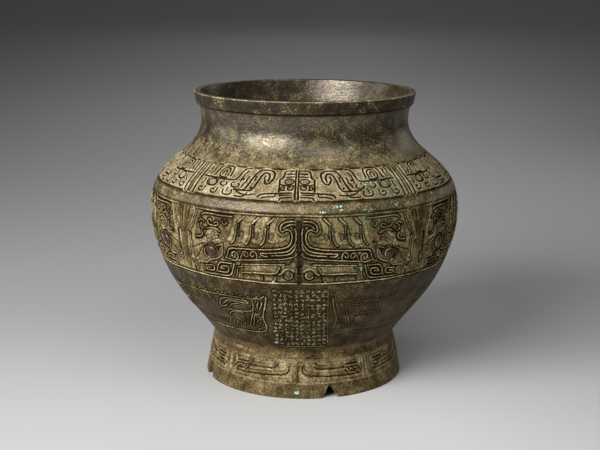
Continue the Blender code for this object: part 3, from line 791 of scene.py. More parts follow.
@dataclass(frozen=True)
class InscriptionBlock:
    """Columns of shallow made-up strokes that stand for characters and can't be read.

    Kinds of stroke are runs in hundredths of a cell, edge lines in thousandths of the block.
    """

    width: float = 0.060
    low: float = 0.0625
    high: float = 0.1435
    columns: int = 10
    rows: int = 14
    seed: int = 41
    kinds: tuple[Run, ...] = ((12, 50, 88, 50), (50, 10, 50, 90), (15, 15, 50, 85, 85, 20),
                              (20, 20, 20, 80, 80, 80, 80, 20), (15, 80, 50, 40, 85, 75),
                              (30, 15, 70, 30, 35, 55, 70, 85))
    edges: tuple[Run, ...] = ((1020, 40, 1020, 1000), (120, -20, 980, -20))

    def strokes(self) -> list[Run]:
        """Strokes of every cell: two to four short lines picked from the kinds.

        Returns:
            Runs in thousandths of the block's width and height.
        """
        dice = np.random.default_rng(self.seed)
        runs: list[Run] = []
        for column in range(self.columns):
            for row in range(self.rows):
                middle = np.array([column + 0.5, row + 0.5]) + dice.uniform(-0.06, 0.06, 2)
                for _ in range(int(dice.integers(2, 5))):
                    kind = self.kinds[int(dice.integers(len(self.kinds)))]
                    shape = np.array(kind).reshape(-1, 2) / 100 - 0.5
                    scale = dice.uniform(0.35, 0.85, 2)
                    shift = dice.uniform(-0.25, 0.25, 2)
                    cell = middle + np.clip(shape * scale + shift, -0.46, 0.46)
                    runs.append((cell / (self.columns, self.rows) * 1000).ravel())
        return [*runs, *self.edges]

    def cut(self, carving: Carving, bearing: np.ndarray, level: np.ndarray) -> None:
        """Cuts the strokes into a plate, upright columns at true width round the turned body.

        Args:
            carving: the plate's drawing.
            bearing: angle of each place from the front, in radians.
            level: height of each place in metres.
        """
        block = Carving(bearing * PROFILE.outer(level) + self.width / 2, level - self.low,
                        (self.width, self.high - self.low))
        for run in self.strokes():
            block.thread(run, width=0.70, rise=0.28, wear=0.84, trench=0.25)
        carving.crown = np.maximum(carving.crown, block.crown)
        carving.trench = np.maximum(carving.trench, block.trench)
        earth = carving.stains[..., Stain.DEPOSIT]
        np.maximum(earth, block.stains[..., Stain.DEPOSIT], out=earth)


# Meshes

def placed(name: str, data: bpy.types.ID) -> bpy.types.Object:
    """A new object of the scene with its data."""
    thing = bpy.data.objects.new(name, data)
    bpy.context.collection.objects.link(thing)
    return thing


def quads_of(grid: np.ndarray) -> np.ndarray:
    """Corners of the quads between the rows of a grid of point numbers."""
    corners = [grid[:-1, :-1], grid[:-1, 1:], grid[1:, 1:], grid[1:, :-1]]
    return np.stack(corners, axis=-1).reshape(-1, 4)


def closed_rings(grid: np.ndarray) -> np.ndarray:
    """A grid of point numbers, each row closed on its first point."""
    return np.concatenate([grid, grid[:, :1]], axis=1)


@dataclass
class Shell:
    """Collects the points and faces of one closed piece."""

    name: str
    places: list[np.ndarray] = field(default_factory=list)
    stains: list[np.ndarray] = field(default_factory=list)
    faces: list[tuple[np.ndarray, bool]] = field(default_factory=list)
    count: int = 0

    def add(self, places: np.ndarray, stains: np.ndarray | None = None) -> np.ndarray:
        """Adds points on a grid.

        Args:
            places: points, last axis x, y, z.
            stains: their stains, or none for clean bronze.

        Returns:
            The points' numbers, in the grid's shape.
        """
        shape = places.shape[:-1]
        total = int(np.prod(shape))
        stains = np.zeros((total, len(Stain))) if stains is None else stains
        self.places.append(places.reshape(-1, 3))
        self.stains.append(stains.reshape(-1, len(Stain)))
        numbers = np.arange(self.count, self.count + total).reshape(shape)
        self.count += total
        return numbers

    def quads(self, grid: np.ndarray, eased: bool = True) -> None:
        """Fills a grid of point numbers with quads, row by row."""
        self.faces.append((quads_of(grid), eased))

    def polygon(self, loop: np.ndarray, eased: bool = False) -> None:
        """One face with many corners, or several with a row each."""
        self.faces.append((np.atleast_2d(loop), eased))

    def outward_faces(self, places: np.ndarray) -> list[tuple[np.ndarray, bool]]:
        """The faces, all turned over where the volume they enclose comes out below nothing."""
        volume = 0.0
        for loops, _ in self.faces:
            first = places[loops[:, 0]]
            for corner in range(1, loops.shape[1] - 1):
                sides = np.cross(places[loops[:, corner]], places[loops[:, corner + 1]])
                volume += float(np.einsum("ij,ij->", first, sides))
        return [(loops if volume > 0 else loops[:, ::-1], eased) for loops, eased in self.faces]

    def make(self, material: bpy.types.Material) -> bpy.types.Object:
        """Turns the shell into an object whose faces point outwards.

        Args:
            material: the finish it wears.

        Returns:
            The new object, riding on the vessel's body in place of its solid.
        """
        places = np.vstack(self.places)
        faces = self.outward_faces(places)
        sizes = np.concatenate([np.full(len(loops), loops.shape[1]) for loops, _ in faces])
        corners = np.concatenate([loops.ravel() for loops, _ in faces]).astype(np.int32)
        starts = np.concatenate([[0], np.cumsum(sizes)[:-1]]).astype(np.int32)
        mesh = bpy.data.meshes.new(self.name)
        mesh.vertices.add(len(places))
        mesh.vertices.foreach_set("co", places.astype(np.float32).ravel())
        mesh.loops.add(len(corners))
        mesh.loops.foreach_set("vertex_index", corners)
        mesh.polygons.add(len(sizes))
        mesh.polygons.foreach_set("loop_start", starts)
        mesh.polygons.foreach_set("use_smooth", np.concatenate(
            [np.full(len(loops), eased) for loops, eased in faces]))
        mesh.update(calc_edges=True)
        stains = np.vstack(self.stains).astype(np.float32)
        for stain in Stain:
            layer = mesh.attributes.new(stain.name.lower(), "FLOAT", "POINT")
            layer.data.foreach_set("value", np.ascontiguousarray(stains[:, stain]))
        mesh.validate()
        mesh.materials.append(material)
        piece = placed(self.name, mesh)
        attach(piece, "root")
        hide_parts("vessel")
        LOG.info("%s: %d points, %d faces", self.name, len(places), len(sizes))
        return piece


# Unevenness and stains of the wall

def casting_skin(places: np.ndarray) -> np.ndarray:
    """Unevenness of the cast wall in metres: broad waves, soft dents and small pits."""
    waves = 0.10 * mottle(places, 0.030, 11, 2) + 0.05 * mottle(places, 0.008, 12, 2)
    return (waves - 0.16 * smooth(mottle(places, 0.0042, 31, 2), 0.42, 0.75)) * MM


# Bearing in degrees, height in metres, half width and half height in millimetres, and strength
VERDIGRIS_SPOTS = (
    (13.5, 0.2335, 9.0, 4.5, 1.0), (8.0, 0.2300, 5.0, 3.0, 1.0), (36.0, 0.2330, 5.5, 2.8, 1.0),
    (27.0, 0.2555, 9.0, 3.0, 1.0), (24.0, 0.2300, 10.0, 3.0, 0.8), (21.5, 0.1660, 5.0, 4.0, 0.8),
    (-2.0, 0.0070, 4.0, 3.0, 1.0), (-13.0, 0.0660, 5.0, 3.0, 0.8), (55.0, 0.2380, 6.0, 3.0, 0.9),
    (118.0, 0.2300, 12.0, 6.0, 1.0), (-140.0, 0.1200, 14.0, 8.0, 0.9),
    (165.0, 0.2950, 10.0, 7.0, 0.9), (-95.0, 0.0300, 8.0, 5.0, 0.9),
    (200.0, 0.0600, 12.0, 6.0, 0.9), (22.0, 0.2180, 50.0, 14.0, 0.5),
    (34.0, 0.2480, 40.0, 12.0, 0.4), (4.0, 0.0850, 30.0, 26.0, 0.25),
    (140.0, 0.1800, 60.0, 35.0, 0.45), (-120.0, 0.2500, 50.0, 22.0, 0.4),
    (185.0, 0.1000, 60.0, 30.0, 0.4))
WARM_SPOTS = (
    (-42.0, 0.0495, 9.0, 3.2, 1.0), (-33.0, 0.0480, 4.0, 1.8, 1.0),
    (-34.0, 0.3120, 52.0, 10.0, 0.88), (-62.0, 0.3000, 16.0, 18.0, 0.6),
    (66.0, 0.2345, 8.0, 4.0, 0.8), (-150.0, 0.1700, 9.0, 6.0, 0.8), (130.0, 0.0700, 10.0, 5.0, 0.8))


def spots(places: np.ndarray, table: Sequence[Sequence[float]]) -> np.ndarray:
    """Soft oval spots on the outer wall, strongest in the middle of each.

    Args:
        places: points of the wall.
        table: the spots.

    Returns:
        Shares from 0 to 1.
    """
    bearing = np.arctan2(places[..., 0], -places[..., 1])
    radius = np.hypot(places[..., 0], places[..., 1])
    share = np.zeros(places.shape[:-1])
    for angle, level, width, tall, strength in table:
        turn = (bearing - math.radians(angle) + math.pi) % (2 * math.pi) - math.pi
        gap = np.hypot(turn * radius / (width * MM), (places[..., 2] - level) / (tall * MM))
        share = np.maximum(share, strength * (1 - smooth(gap, 0.3, 1.3)))
    return share * PROFILE.is_outside(places, 3 * MM)


# The pieces

@dataclass(frozen=True)
class Band:
    """A carved band of four panels round the body, made as plates.

    Each plate is its first and last bearing in degrees and its pitch in millimetres. sunk is the
    ground's depth, back_depth the plate's thickness, edge_ease the way over which it fades out at
    the band's edges and reaches the ways that lowness averages over, all in millimetres; turn and
    rubbed are in degrees.
    """

    name: str
    low: float
    high: float
    draw: Callable[[Carving], None]
    plates: tuple[tuple[float, float, float], ...]
    sunk: float
    turn: float
    ground_deposit: float
    top_deposit: float
    relief: float
    panel: tuple[float, float] | None = None
    inscription: InscriptionBlock | None = None
    rubbed: tuple[float, float, float, float] = (8.0, 16.0, 75.0, 95.0)
    rubbed_share: float = 0.45
    back_depth: float = 2.1
    back_rows: int = 7
    edge_ease: float = 1.3
    reaches: tuple[float, float, float] = (1.5, 0.8, 1.3)

    def rows(self, pitch: float) -> tuple[np.ndarray, np.ndarray]:
        """Heights at even steps along the profile.

        Args:
            pitch: length of a step in millimetres.

        Returns:
            The heights, and the way along the profile to each, in metres.
        """
        fine = np.linspace(self.low, self.high, 400)
        lengths = np.hypot(np.diff(fine), np.diff(PROFILE.outer(fine)))
        way = np.concatenate([[0], np.cumsum(lengths)])
        steps = np.linspace(0, way[-1], max(2, round(way[-1] / (pitch * MM))) + 1)
        return np.interp(steps, way, fine), steps

    def drawing(self, places: np.ndarray, bearing: np.ndarray, level: np.ndarray,
                along: np.ndarray) -> Carving:
        """What is drawn on a plate: the panel folded on its centre line, and the inscription.

        The drawing drifts a little with a slow noise, so no two halves match exactly.

        Args:
            places: points of the grid on the turned shape.
            bearing: angles of the grid in radians.
            level: heights of the grid.
            along: way along the profile, from the band's foot.

        Returns:
            The drawing.
        """
        low, high = self.panel or (self.low, self.high)
        folded = (bearing - math.radians(self.turn) + HALF_PANEL) % (2 * HALF_PANEL) - HALF_PANEL
        border = np.interp([low, high], level[:, 0], along[:, 0])
        inner = level[:, 0][(level[:, 0] >= low) & (level[:, 0] <= high)]
        wide = float(PROFILE.outer(inner).mean()) * HALF_PANEL
        drifts = [0.5 * MM * mottle(places, 0.030, seed)
                  + 0.2 * MM * mottle(places, 0.006, seed + 2) for seed in (21, 22)]
        carving = Carving(np.abs(folded) / HALF_PANEL * wide + drifts[0],
                          along - border[0] + drifts[1], (wide, float(border[1] - border[0])))
        self.draw(carving)
        if self.inscription:
            start, full, fading, end = np.radians(self.rubbed)
            rubbed = smooth(bearing, start, full) * smooth(bearing, end, fading)
            for part in (carving.crown, carving.trench, carving.stains[..., Stain.DEPOSIT]):
                part *= 1 - self.rubbed_share * rubbed
            self.inscription.cut(carving, bearing, level)
        return carving

    def earth(self, places: np.ndarray, carving: Carving, raised: np.ndarray,
              bed: np.ndarray) -> np.ndarray:
        """How much earth and painted highlight lie on the ground, the forms and the threads; the
        trenches are bare.

        Args:
            places: points of the grid.
            carving: the drawing.
            raised: 1 on the forms, 0 on the ground.
            bed: depth of the trenches in metres.

        Returns:
            Shares from 0 to 1.
        """
        patch = patches(places, 0.012, 61, 3)
        flake = patches(places, 0.0026, 62, 2)
        ground = self.ground_deposit * (0.72 + 0.34 * patch + 0.22 * flake) * (1 - raised)
        tops = self.top_deposit * (0.70 + 0.42 * patch + 0.18 * flake) * raised
        lines = carving.stains[..., Stain.DEPOSIT] * (0.58 + 0.36 * patch + 0.30 * flake)
        kept = 1 - np.clip(bed / (0.45 * MM), 0, 1)
        return np.clip(np.maximum(lines, (ground + tops) * kept) * (1 - carving.clean), 0, 1)

    def lowness(self, body: np.ndarray, pitch: float) -> np.ndarray:
        """How far each place lies below its surroundings in metres; negative where above them.

        Args:
            body: heights of the surface.
            pitch: distance between the grid's rows in metres.

        Returns:
            The depths.
        """
        wide, narrow, ridge = (spread(body, max(1, round(reach * MM / pitch)))
                               for reach in self.reaches)
        below = np.maximum(wide - body, 1.3 * (narrow - body))
        return np.where(below > 0, below, -np.maximum(body - ridge, 0))

    def carve(self, bearing: np.ndarray, level: np.ndarray,
              along: np.ndarray) -> tuple[np.ndarray, np.ndarray]:
        """Height of the surface over the turned shape, and its stains.

        Args:
            bearing: angles of the grid in radians.
            level: heights of the grid.
            along: way along the profile, from the band's foot.

        Returns:
            Heights in metres, and stains.
        """
        places = around(PROFILE.outer(level), bearing, level)
        carving = self.drawing(places, bearing, level, along)
        free = smooth(np.minimum(along - along[:1], along[-1:] - along) / MM, 0.0, self.edge_ease)
        wear = patches(places, 0.045, 41, 2)
        raised = smooth(carving.height / MM, 0.25, 0.85)
        bed = carving.trench * (1 - smooth(carving.crown / MM, 0.04, 0.22))
        lines = (carving.crown - carving.cut - bed) * (1 - 0.25 * wear)
        body = self.relief * (carving.height * (1 - 0.18 * wear) + lines)
        grain = (1 - raised) * float(self.sunk > 0)
        rough = 0.16 * mottle(places, 0.0022, 51, 2) * grain + 0.04 * mottle(places, 0.005, 52)
        height = (body + (rough - self.sunk) * MM + 0.5 * casting_skin(places)) * free
        lowness = self.lowness(body, float(along[1, 0] - along[0, 0]))
        stains = carving.stains
        stains[..., Stain.DEPOSIT] = self.earth(places, carving, raised, bed)
        stains[..., Stain.GRAIN] = grain * free
        stains[..., Stain.VERDIGRIS] = spots(places, VERDIGRIS_SPOTS)
        # Painted shade in low places and trenches, and a lighter crest on high ones, from how far
        # each place lies below its surroundings
        stains[..., Stain.HOLLOW] = np.clip(
            np.maximum(lowness / (0.45 * MM), bed / (0.65 * MM)), -1, 1)
        return height, stains

    def make_plate(self, number: int, material: bpy.types.Material) -> bpy.types.Object:
        """One plate: the carved front, a plain back inside the wall, and the edges between.

        Args:
            number: which plate.
            material: the finish it wears.

        Returns:
            The piece.
        """
        start, end, pitch = self.plates[number]
        levels, steps = self.rows(pitch)
        widest = float(PROFILE.outer(levels).max())
        columns = round(math.radians(end - start) * widest / (pitch * MM)) + 1
        bearings = np.radians(np.linspace(start, end, columns) + self.turn)
        bearing, level = np.meshgrid(bearings, levels)
        along = np.repeat(steps[:, None], columns, axis=1)
        height, stains = self.carve(bearing, level, along)
        across, upward = PROFILE.normal(levels)
        radius = PROFILE.outer(level) + height * across[:, None]
        shell = Shell(f"{self.name}_{number + 1}")
        front = shell.add(around(radius, bearing, level + height * upward[:, None]), stains)
        behind = np.linspace(self.low, self.high, self.back_rows)
        inward, down = (self.back_depth * MM * part for part in PROFILE.normal(behind))
        back = shell.add(around((PROFILE.outer(behind) - inward)[:, None], bearings[None, :],
                                (behind - down)[:, None]))
        shell.quads(front)
        shell.quads(back[:, ::-1], eased=False)
        shell.quads(np.stack([back[0], front[0]]), eased=False)
        shell.quads(np.stack([front[-1], back[-1]]), eased=False)
        shell.polygon(np.concatenate([front[:, 0], back[::-1, 0]]))
        shell.polygon(np.concatenate([front[::-1, -1], back[:, -1]]))
        return shell.make(material)


BANDS = (
    Band("foot_band", RIM_TOP, FOOT_TOP, foot_dragons, ((-90, 90, 0.72), (90, 270, 1.05)),
         sunk=1.0, turn=-2.9, ground_deposit=0.67, top_deposit=0.48, relief=1.45),
    Band("lower_band", LOWER_START, MAIN_START, lower_panel,
         ((-50, 24, 0.62), (24, 165, 1.35), (165, 310, 1.45)), sunk=0.0, turn=0.0,
         ground_deposit=0.11, top_deposit=0.11, relief=1.2, panel=LOWER_PANEL,
         inscription=InscriptionBlock()),
    Band("main_band", MAIN_START, MAIN_TOP, main_mask,
         ((-70, 41, 0.58), (41, 100, 0.84), (100, 195, 1.10), (195, 290, 1.10)),
         sunk=1.35, turn=0.0, ground_deposit=0.61, top_deposit=0.38, relief=1.0),
    Band("shoulder_band", RIDGE_TOP, SHOULDER_TOP, shoulder_mask,
         ((-78, 78, 0.60), (78, 282, 1.02)),
         sunk=0.9, turn=-1.1, ground_deposit=0.28, top_deposit=0.65, relief=1.25),
)


@dataclass(frozen=True)
class FootRim:
    """The plain rim of the foot ring, with two pieces broken out of it.

    Each notch is an outline of degrees from the front and millimetres up, in turn.
    """

    top: float = RIM_TOP
    notches: tuple[Run, ...] = (
        (12.2, 0.0, 12.6, 2.2, 13.4, 4.4, 14.2, 6.6, 14.9, 10.0, 15.3, 13.6, 16.1, 14.9,
         17.0, 14.4, 17.7, 11.2, 18.6, 9.6, 19.3, 6.2, 20.3, 4.6, 21.0, 2.0, 21.6, 0.0),
        (-73.4, 0.0, -72.6, 5.0, -71.5, 9.0, -70.4, 13.0, -68.8, 14.8, -67.4, 13.6,
         -66.2, 10.0, -65.0, 5.5, -64.2, 0.0))
    columns: int = 480
    notch_columns: int = 72
    rows: int = 13
    corner: float = 0.9 * MM

    def bearings(self) -> np.ndarray:
        """Angles of the rim's columns in radians, close together at the notches."""
        even = np.linspace(-180, 180, self.columns, endpoint=False)
        fine = [np.linspace(notch[0] - 0.3, notch[-2] + 0.3, self.notch_columns)
                for notch in self.notches]
        return np.radians(np.unique(np.round(np.concatenate([even, *fine]), 3)))

    def underside(self, bearing: np.ndarray) -> np.ndarray:
        """Height of the rim's lower edge: 0, or the notch's outline, roughened like a break."""
        level = np.zeros_like(bearing)
        for notch in self.notches:
            angles, heights = np.array(notch).reshape(-1, 2).T
            edge = np.interp(np.degrees(bearing), angles, heights, left=0, right=0) * MM
            level = np.maximum(level, edge)
        rough = mottle(around(np.full_like(bearing, 0.118), bearing, level), 0.0028, 71, 2)
        rough = 0.35 * MM * rough * smooth(level, 0.4 * MM, 2.0 * MM)
        return np.clip(level + rough, 0.0, self.top - 0.4 * MM)

    def section(self) -> tuple[np.ndarray, np.ndarray, np.ndarray]:
        """The rim's half section from its inner top, down and up its outside.

        Returns:
            Radii, heights as shares of the rim's height, and -1 inside or 1 outside, one row each.
        """
        inside = float(PROFILE.foot_inner(0.0))
        shares = np.linspace(0, 1, self.rows)
        outer = PROFILE.outer(shares * self.top)
        rows = [(float(PROFILE.foot_inner(share * self.top)), share, -1.0)
                for share in (1.0, 0.5, 0.12)]
        rows += [(inside + 0.1 * MM, 0.02, -1.0), (inside + self.corner, 0.0, -1.0),
                 (outer[0] - self.corner, 0.0, 1.0),
                 (outer[0] - 0.25 * MM, 0.25 * MM / self.top, 1.0)]
        rows += [(radius, share, 1.0) for radius, share in zip(outer[1:], shares[1:])]
        radius, share, side = (np.array(part)[:, None] for part in zip(*rows))
        return radius, share, side

    def make(self, material: bpy.types.Material) -> bpy.types.Object:
        """The rim as a closed ring, its lower edge raised at the breaks."""
        bearing = self.bearings()
        edge = self.underside(bearing)[None, :]
        radius, share, side = self.section()
        level = edge + share * (self.top - edge)
        broken = smooth(edge, 0.5 * MM, 2 * MM)
        radius = radius - 0.5 * MM * side * broken * (1 - smooth(share, 0.0, 0.25))
        places = around(radius, bearing[None, :], level)
        ends = smooth(share, 0.0, 0.2) * (1 - smooth(share, 0.85, 1.0))
        places = around(radius + casting_skin(places) * ends * (side > 0), bearing[None, :], level)
        stains = np.zeros(places.shape[:-1] + (len(Stain),))
        stains[..., Stain.DEPOSIT] = 0.22 + 0.28 * patches(places, 0.012, 61, 3)
        stains[..., Stain.POLISH] = 0.5 * broken * (1 - smooth(share, 0.0, 0.1))
        stains[..., Stain.VERDIGRIS] = spots(places, VERDIGRIS_SPOTS)
        shell = Shell("foot_rim")
        ring = closed_rings(shell.add(places, stains))
        shell.quads(ring)
        shell.quads(np.stack([ring[-1], ring[0]]), eased=False)
        return shell.make(material)


Corner = tuple[float, float]


def fillet(before: Corner, corner: Corner, after: Corner, radius: float,
           count: int = 6) -> list[Corner]:
    """Rounds a corner: a quadratic bend from a point before it to one after it.

    Args:
        before: point the path comes from, as radius and height.
        corner: the corner.
        after: point the path goes to.
        radius: how far from the corner the bend starts.
        count: points along the bend.

    Returns:
        Points as radius and height.
    """
    middle, first, last = np.array(corner), np.array(before), np.array(after)
    start = middle + (first - middle) / np.hypot(*(first - middle)) * radius
    end = middle + (last - middle) / np.hypot(*(last - middle)) * radius
    share = np.linspace(0, 1, count)[:, None]
    bend = (1 - share) ** 2 * start + 2 * share * (1 - share) * middle + share ** 2 * end
    return [tuple(point) for point in bend]


def between(start: Corner, end: Corner, shares: Sequence[float]) -> list[Corner]:
    """Points on the straight way from one point to another, at shares of it."""
    return [(start[0] + (end[0] - start[0]) * share, start[1] + (end[1] - start[1]) * share)
            for share in shares]


def wall_points(low: float, high: float, pitch: float, inset: float = 0.0) -> list[Corner]:
    """Points up the profile between two heights, moved in square to it."""
    levels = np.linspace(low, high, max(2, round((high - low) / pitch) + 1))
    across, upward = PROFILE.normal(levels)
    return list(zip(PROFILE.outer(levels) - inset * across, levels - inset * upward))


@dataclass(frozen=True)
class TurnedBody:
    """The plain turned wall: neck, lip, hollow, floor and foot, with sunk seats for the plates."""

    columns: int = 304
    seat_depth: float = 0.0017
    floor_under: float = 0.0490
    floor_top: float = 0.0530
    foot_corner: float = 0.006
    pole_ring: float = 0.012
    foot_levels: tuple[float, ...] = (0.036, 0.029, 0.022, RIM_TOP)
    waist_span: tuple[float, float] = (0.0480, 0.0560)
    waist_bend: float = 0.0028
    waist_points: tuple[float, float] = (0.0476, 0.0545)
    neck_top: float = 0.3236
    throat_level: float = 0.3251
    lip_start: float = 0.3255
    lip_bend: float = 0.0018
    throat_inside: float = 0.3200
    hollow_start: float = 0.0640
    hollow_corner: float = 0.009

    def path(self) -> tuple[np.ndarray, np.ndarray]:
        """The wall's closed half section, from the floor's underside round to the floor's top.

        Returns:
            Points as radius and height, and for each how uneven the wall is there, from 0 to 1.
        """
        foot_side = float(PROFILE.foot_inner(self.floor_under - self.foot_corner))
        under = (float(PROFILE.outer(self.floor_under)) - PROFILE.wall, self.floor_under)
        waist = (float(PROFILE.outer(WAIST)), WAIST)
        waist_low, waist_high = ((float(PROFILE.outer(level)), level) for level in self.waist_span)
        throat = (float(PROFILE.outer(THROAT)), self.throat_level)
        lip_low = (PROFILE.lip_bottom_radius, self.lip_start)
        lip_high = (PROFILE.lip_top_radius, PROFILE.height)
        mouth = (PROFILE.lip_top_radius - PROFILE.lip_width, PROFILE.height)
        throat_in = (float(PROFILE.outer(self.throat_inside)) - PROFILE.wall, self.throat_inside)
        inner = wall_points(self.hollow_start, self.throat_inside, 0.0048, PROFILE.wall)[::-1]
        low_corner = (float(inner[-1][0]) - 0.006, self.floor_top)
        # Points of each run, and how uneven the wall is along it
        runs = (
            ([(radius, self.floor_under) for radius in
              np.linspace(self.pole_ring, under[0] - self.pole_ring, 9)], 1.0),
            (fillet((0.05, self.floor_under), under, (foot_side, self.floor_under - 0.012),
                    self.foot_corner), 1.0),
            ([(float(PROFILE.foot_inner(level)), level) for level in self.foot_levels], 0.0),
            (wall_points(RIM_TOP, FOOT_TOP, 0.0095, self.seat_depth), 0.0),
            (wall_points(FOOT_TOP, self.waist_points[0], 0.0012), 1.0),
            (fillet(waist_low, waist, waist_high, self.waist_bend), 1.0),
            (wall_points(self.waist_points[1], LOWER_START, 0.0014), 1.0),
            (wall_points(LOWER_START, MAIN_TOP, 0.0085, self.seat_depth), 0.0),
            (wall_points(MAIN_TOP, RIDGE_TOP, 0.0012), 1.0),
            (wall_points(RIDGE_TOP, SHOULDER_TOP, 0.0078, self.seat_depth), 0.0),
            (wall_points(SHOULDER_TOP, self.neck_top, 0.0014), 1.0),
            (fillet((throat[0], 0.3200), throat, lip_low, 0.0010, 4), 1.0),
            (fillet(throat, lip_low, lip_high, 0.0011, 5), 0.6),
            (between(lip_low, lip_high, np.linspace(0.14, 0.84, 8)), 1.0),
            (fillet(lip_low, lip_high, mouth, self.lip_bend), 0.6),
            (between(lip_high, mouth, (0.35, 0.5, 0.65)), 0.4),
            (fillet(lip_high, mouth, throat_in, 0.0016), 0.6),
            (between(mouth, throat_in, (0.3, 0.5, 0.7)), 1.0),
            (inner, 1.0),
            (fillet(inner[-1], low_corner, (0.05, self.floor_top), self.hollow_corner)[1:], 1.0),
            ([(radius, self.floor_top) for radius in
              np.linspace(low_corner[0] - 0.020, self.pole_ring, 8)], 1.0))
        chain = np.array([point for points, _ in runs for point in points], float)
        return chain, np.concatenate([np.full(len(points), uneven) for points, uneven in runs])

    def stain(self, places: np.ndarray) -> np.ndarray:
        """The wall's stains: earth on the ridge and low on the neck, bare metal above and inside, a
        painted highlight on the rim and painted shadow under the lip.

        Args:
            places: points of the wall.

        Returns:
            Its stains.
        """
        level, radius = places[..., 2], np.hypot(places[..., 0], places[..., 1])
        outside = PROFILE.is_outside(places, 1.2 * MM)
        lip = level > 0.3245
        patch = patches(places, 0.014, 61, 3)
        cloudy = patches(places, 0.050, 66, 2)
        low_neck = smooth(level, 0.305, 0.270) * smooth(level, 0.262, 0.270)
        ridge = smooth(level, 0.2285, 0.2300) * smooth(level, 0.2385, 0.2370)
        waist = smooth(level, 0.0600, 0.0560)
        neck = smooth(level, 0.268, 0.285)
        under_lip = smooth(level, 0.3215, 0.3245) * smooth(level, 0.3272, 0.3256)
        rim_edge = ((level > PROFILE.height - 1.1 * MM)
                    & (radius > PROFILE.lip_top_radius - 1.6 * MM))
        wall_earth = (0.02 + 0.43 * patch * cloudy + 0.35 * low_neck + 0.30 * ridge
                      + 0.20 * waist)
        earth = np.where(lip, 0.08 * patch, np.where(outside, wall_earth, 0.04 + 0.16 * patch))
        # Painted highlight along the outer top edge of the rim, broken into patches
        flaking = 0.35 + 0.55 * patches(places, 0.004, 65, 2)
        bare = np.where(outside, 0.42 * ridge + np.where(lip, 0.18, 0.70 * neck), 0.85)
        stains = np.zeros(places.shape[:-1] + (len(Stain),))
        stains[..., Stain.DEPOSIT] = earth + rim_edge * outside * flaking
        stains[..., Stain.POLISH] = bare + 0.20 * rim_edge
        stains[..., Stain.GRAIN] = 0.9 * (lip & outside)
        stains[..., Stain.WARMTH] = np.maximum(0.75 * smooth(level, 0.305, 0.322) * patch,
                                               spots(places, WARM_SPOTS))
        stains[..., Stain.VERDIGRIS] = spots(places, VERDIGRIS_SPOTS)
        # Painted shadow in a band just under the lip
        stains[..., Stain.HOLLOW] = np.where(outside, 0.42 * under_lip, 0.0)
        return stains

    def make(self, material: bpy.types.Material) -> bpy.types.Object:
        """The wall turned round the axis, closed at both poles, its plain parts uneven as cast."""
        section, uneven = self.path()
        bearing = np.linspace(0, 2 * math.pi, self.columns, endpoint=False)[None, :]
        radius, level = section[:, :1], section[:, 1:]
        after = np.roll(section, -1, axis=0) - np.roll(section, 1, axis=0)
        after[0], after[-1] = (1, 0), (-1, 0)
        square = np.stack([after[:, 1], -after[:, 0]], axis=1) / np.hypot(*after.T)[:, None]
        lump = casting_skin(around(radius, bearing, level)) * uneven[:, None]
        places = around(radius + lump * square[:, :1], bearing, level + lump * square[:, 1:])
        places[..., 2] = np.minimum(places[..., 2], PROFILE.height)
        shell = Shell("turned_wall")
        rings = closed_rings(shell.add(places, self.stain(places)))
        plain = np.minimum(uneven[:-1], uneven[1:]) > 0
        turns = np.flatnonzero(np.diff(plain)) + 1
        for start, end in zip([0, *turns], [*turns, len(plain)]):
            shell.quads(rings[start:end + 1], eased=bool(plain[start]))
        for height, ring in ((self.floor_under, rings[0][::-1]), (self.floor_top, rings[-1])):
            pole = np.full(len(ring) - 1, int(shell.add(np.array([[0.0, 0.0, height]]))[0]))
            shell.polygon(np.stack([ring[:-1], ring[1:], pole], axis=1), eased=True)
        return shell.make(material)


# Finishes

Colour = tuple[float, float, float]
Socket = bpy.types.NodeSocket


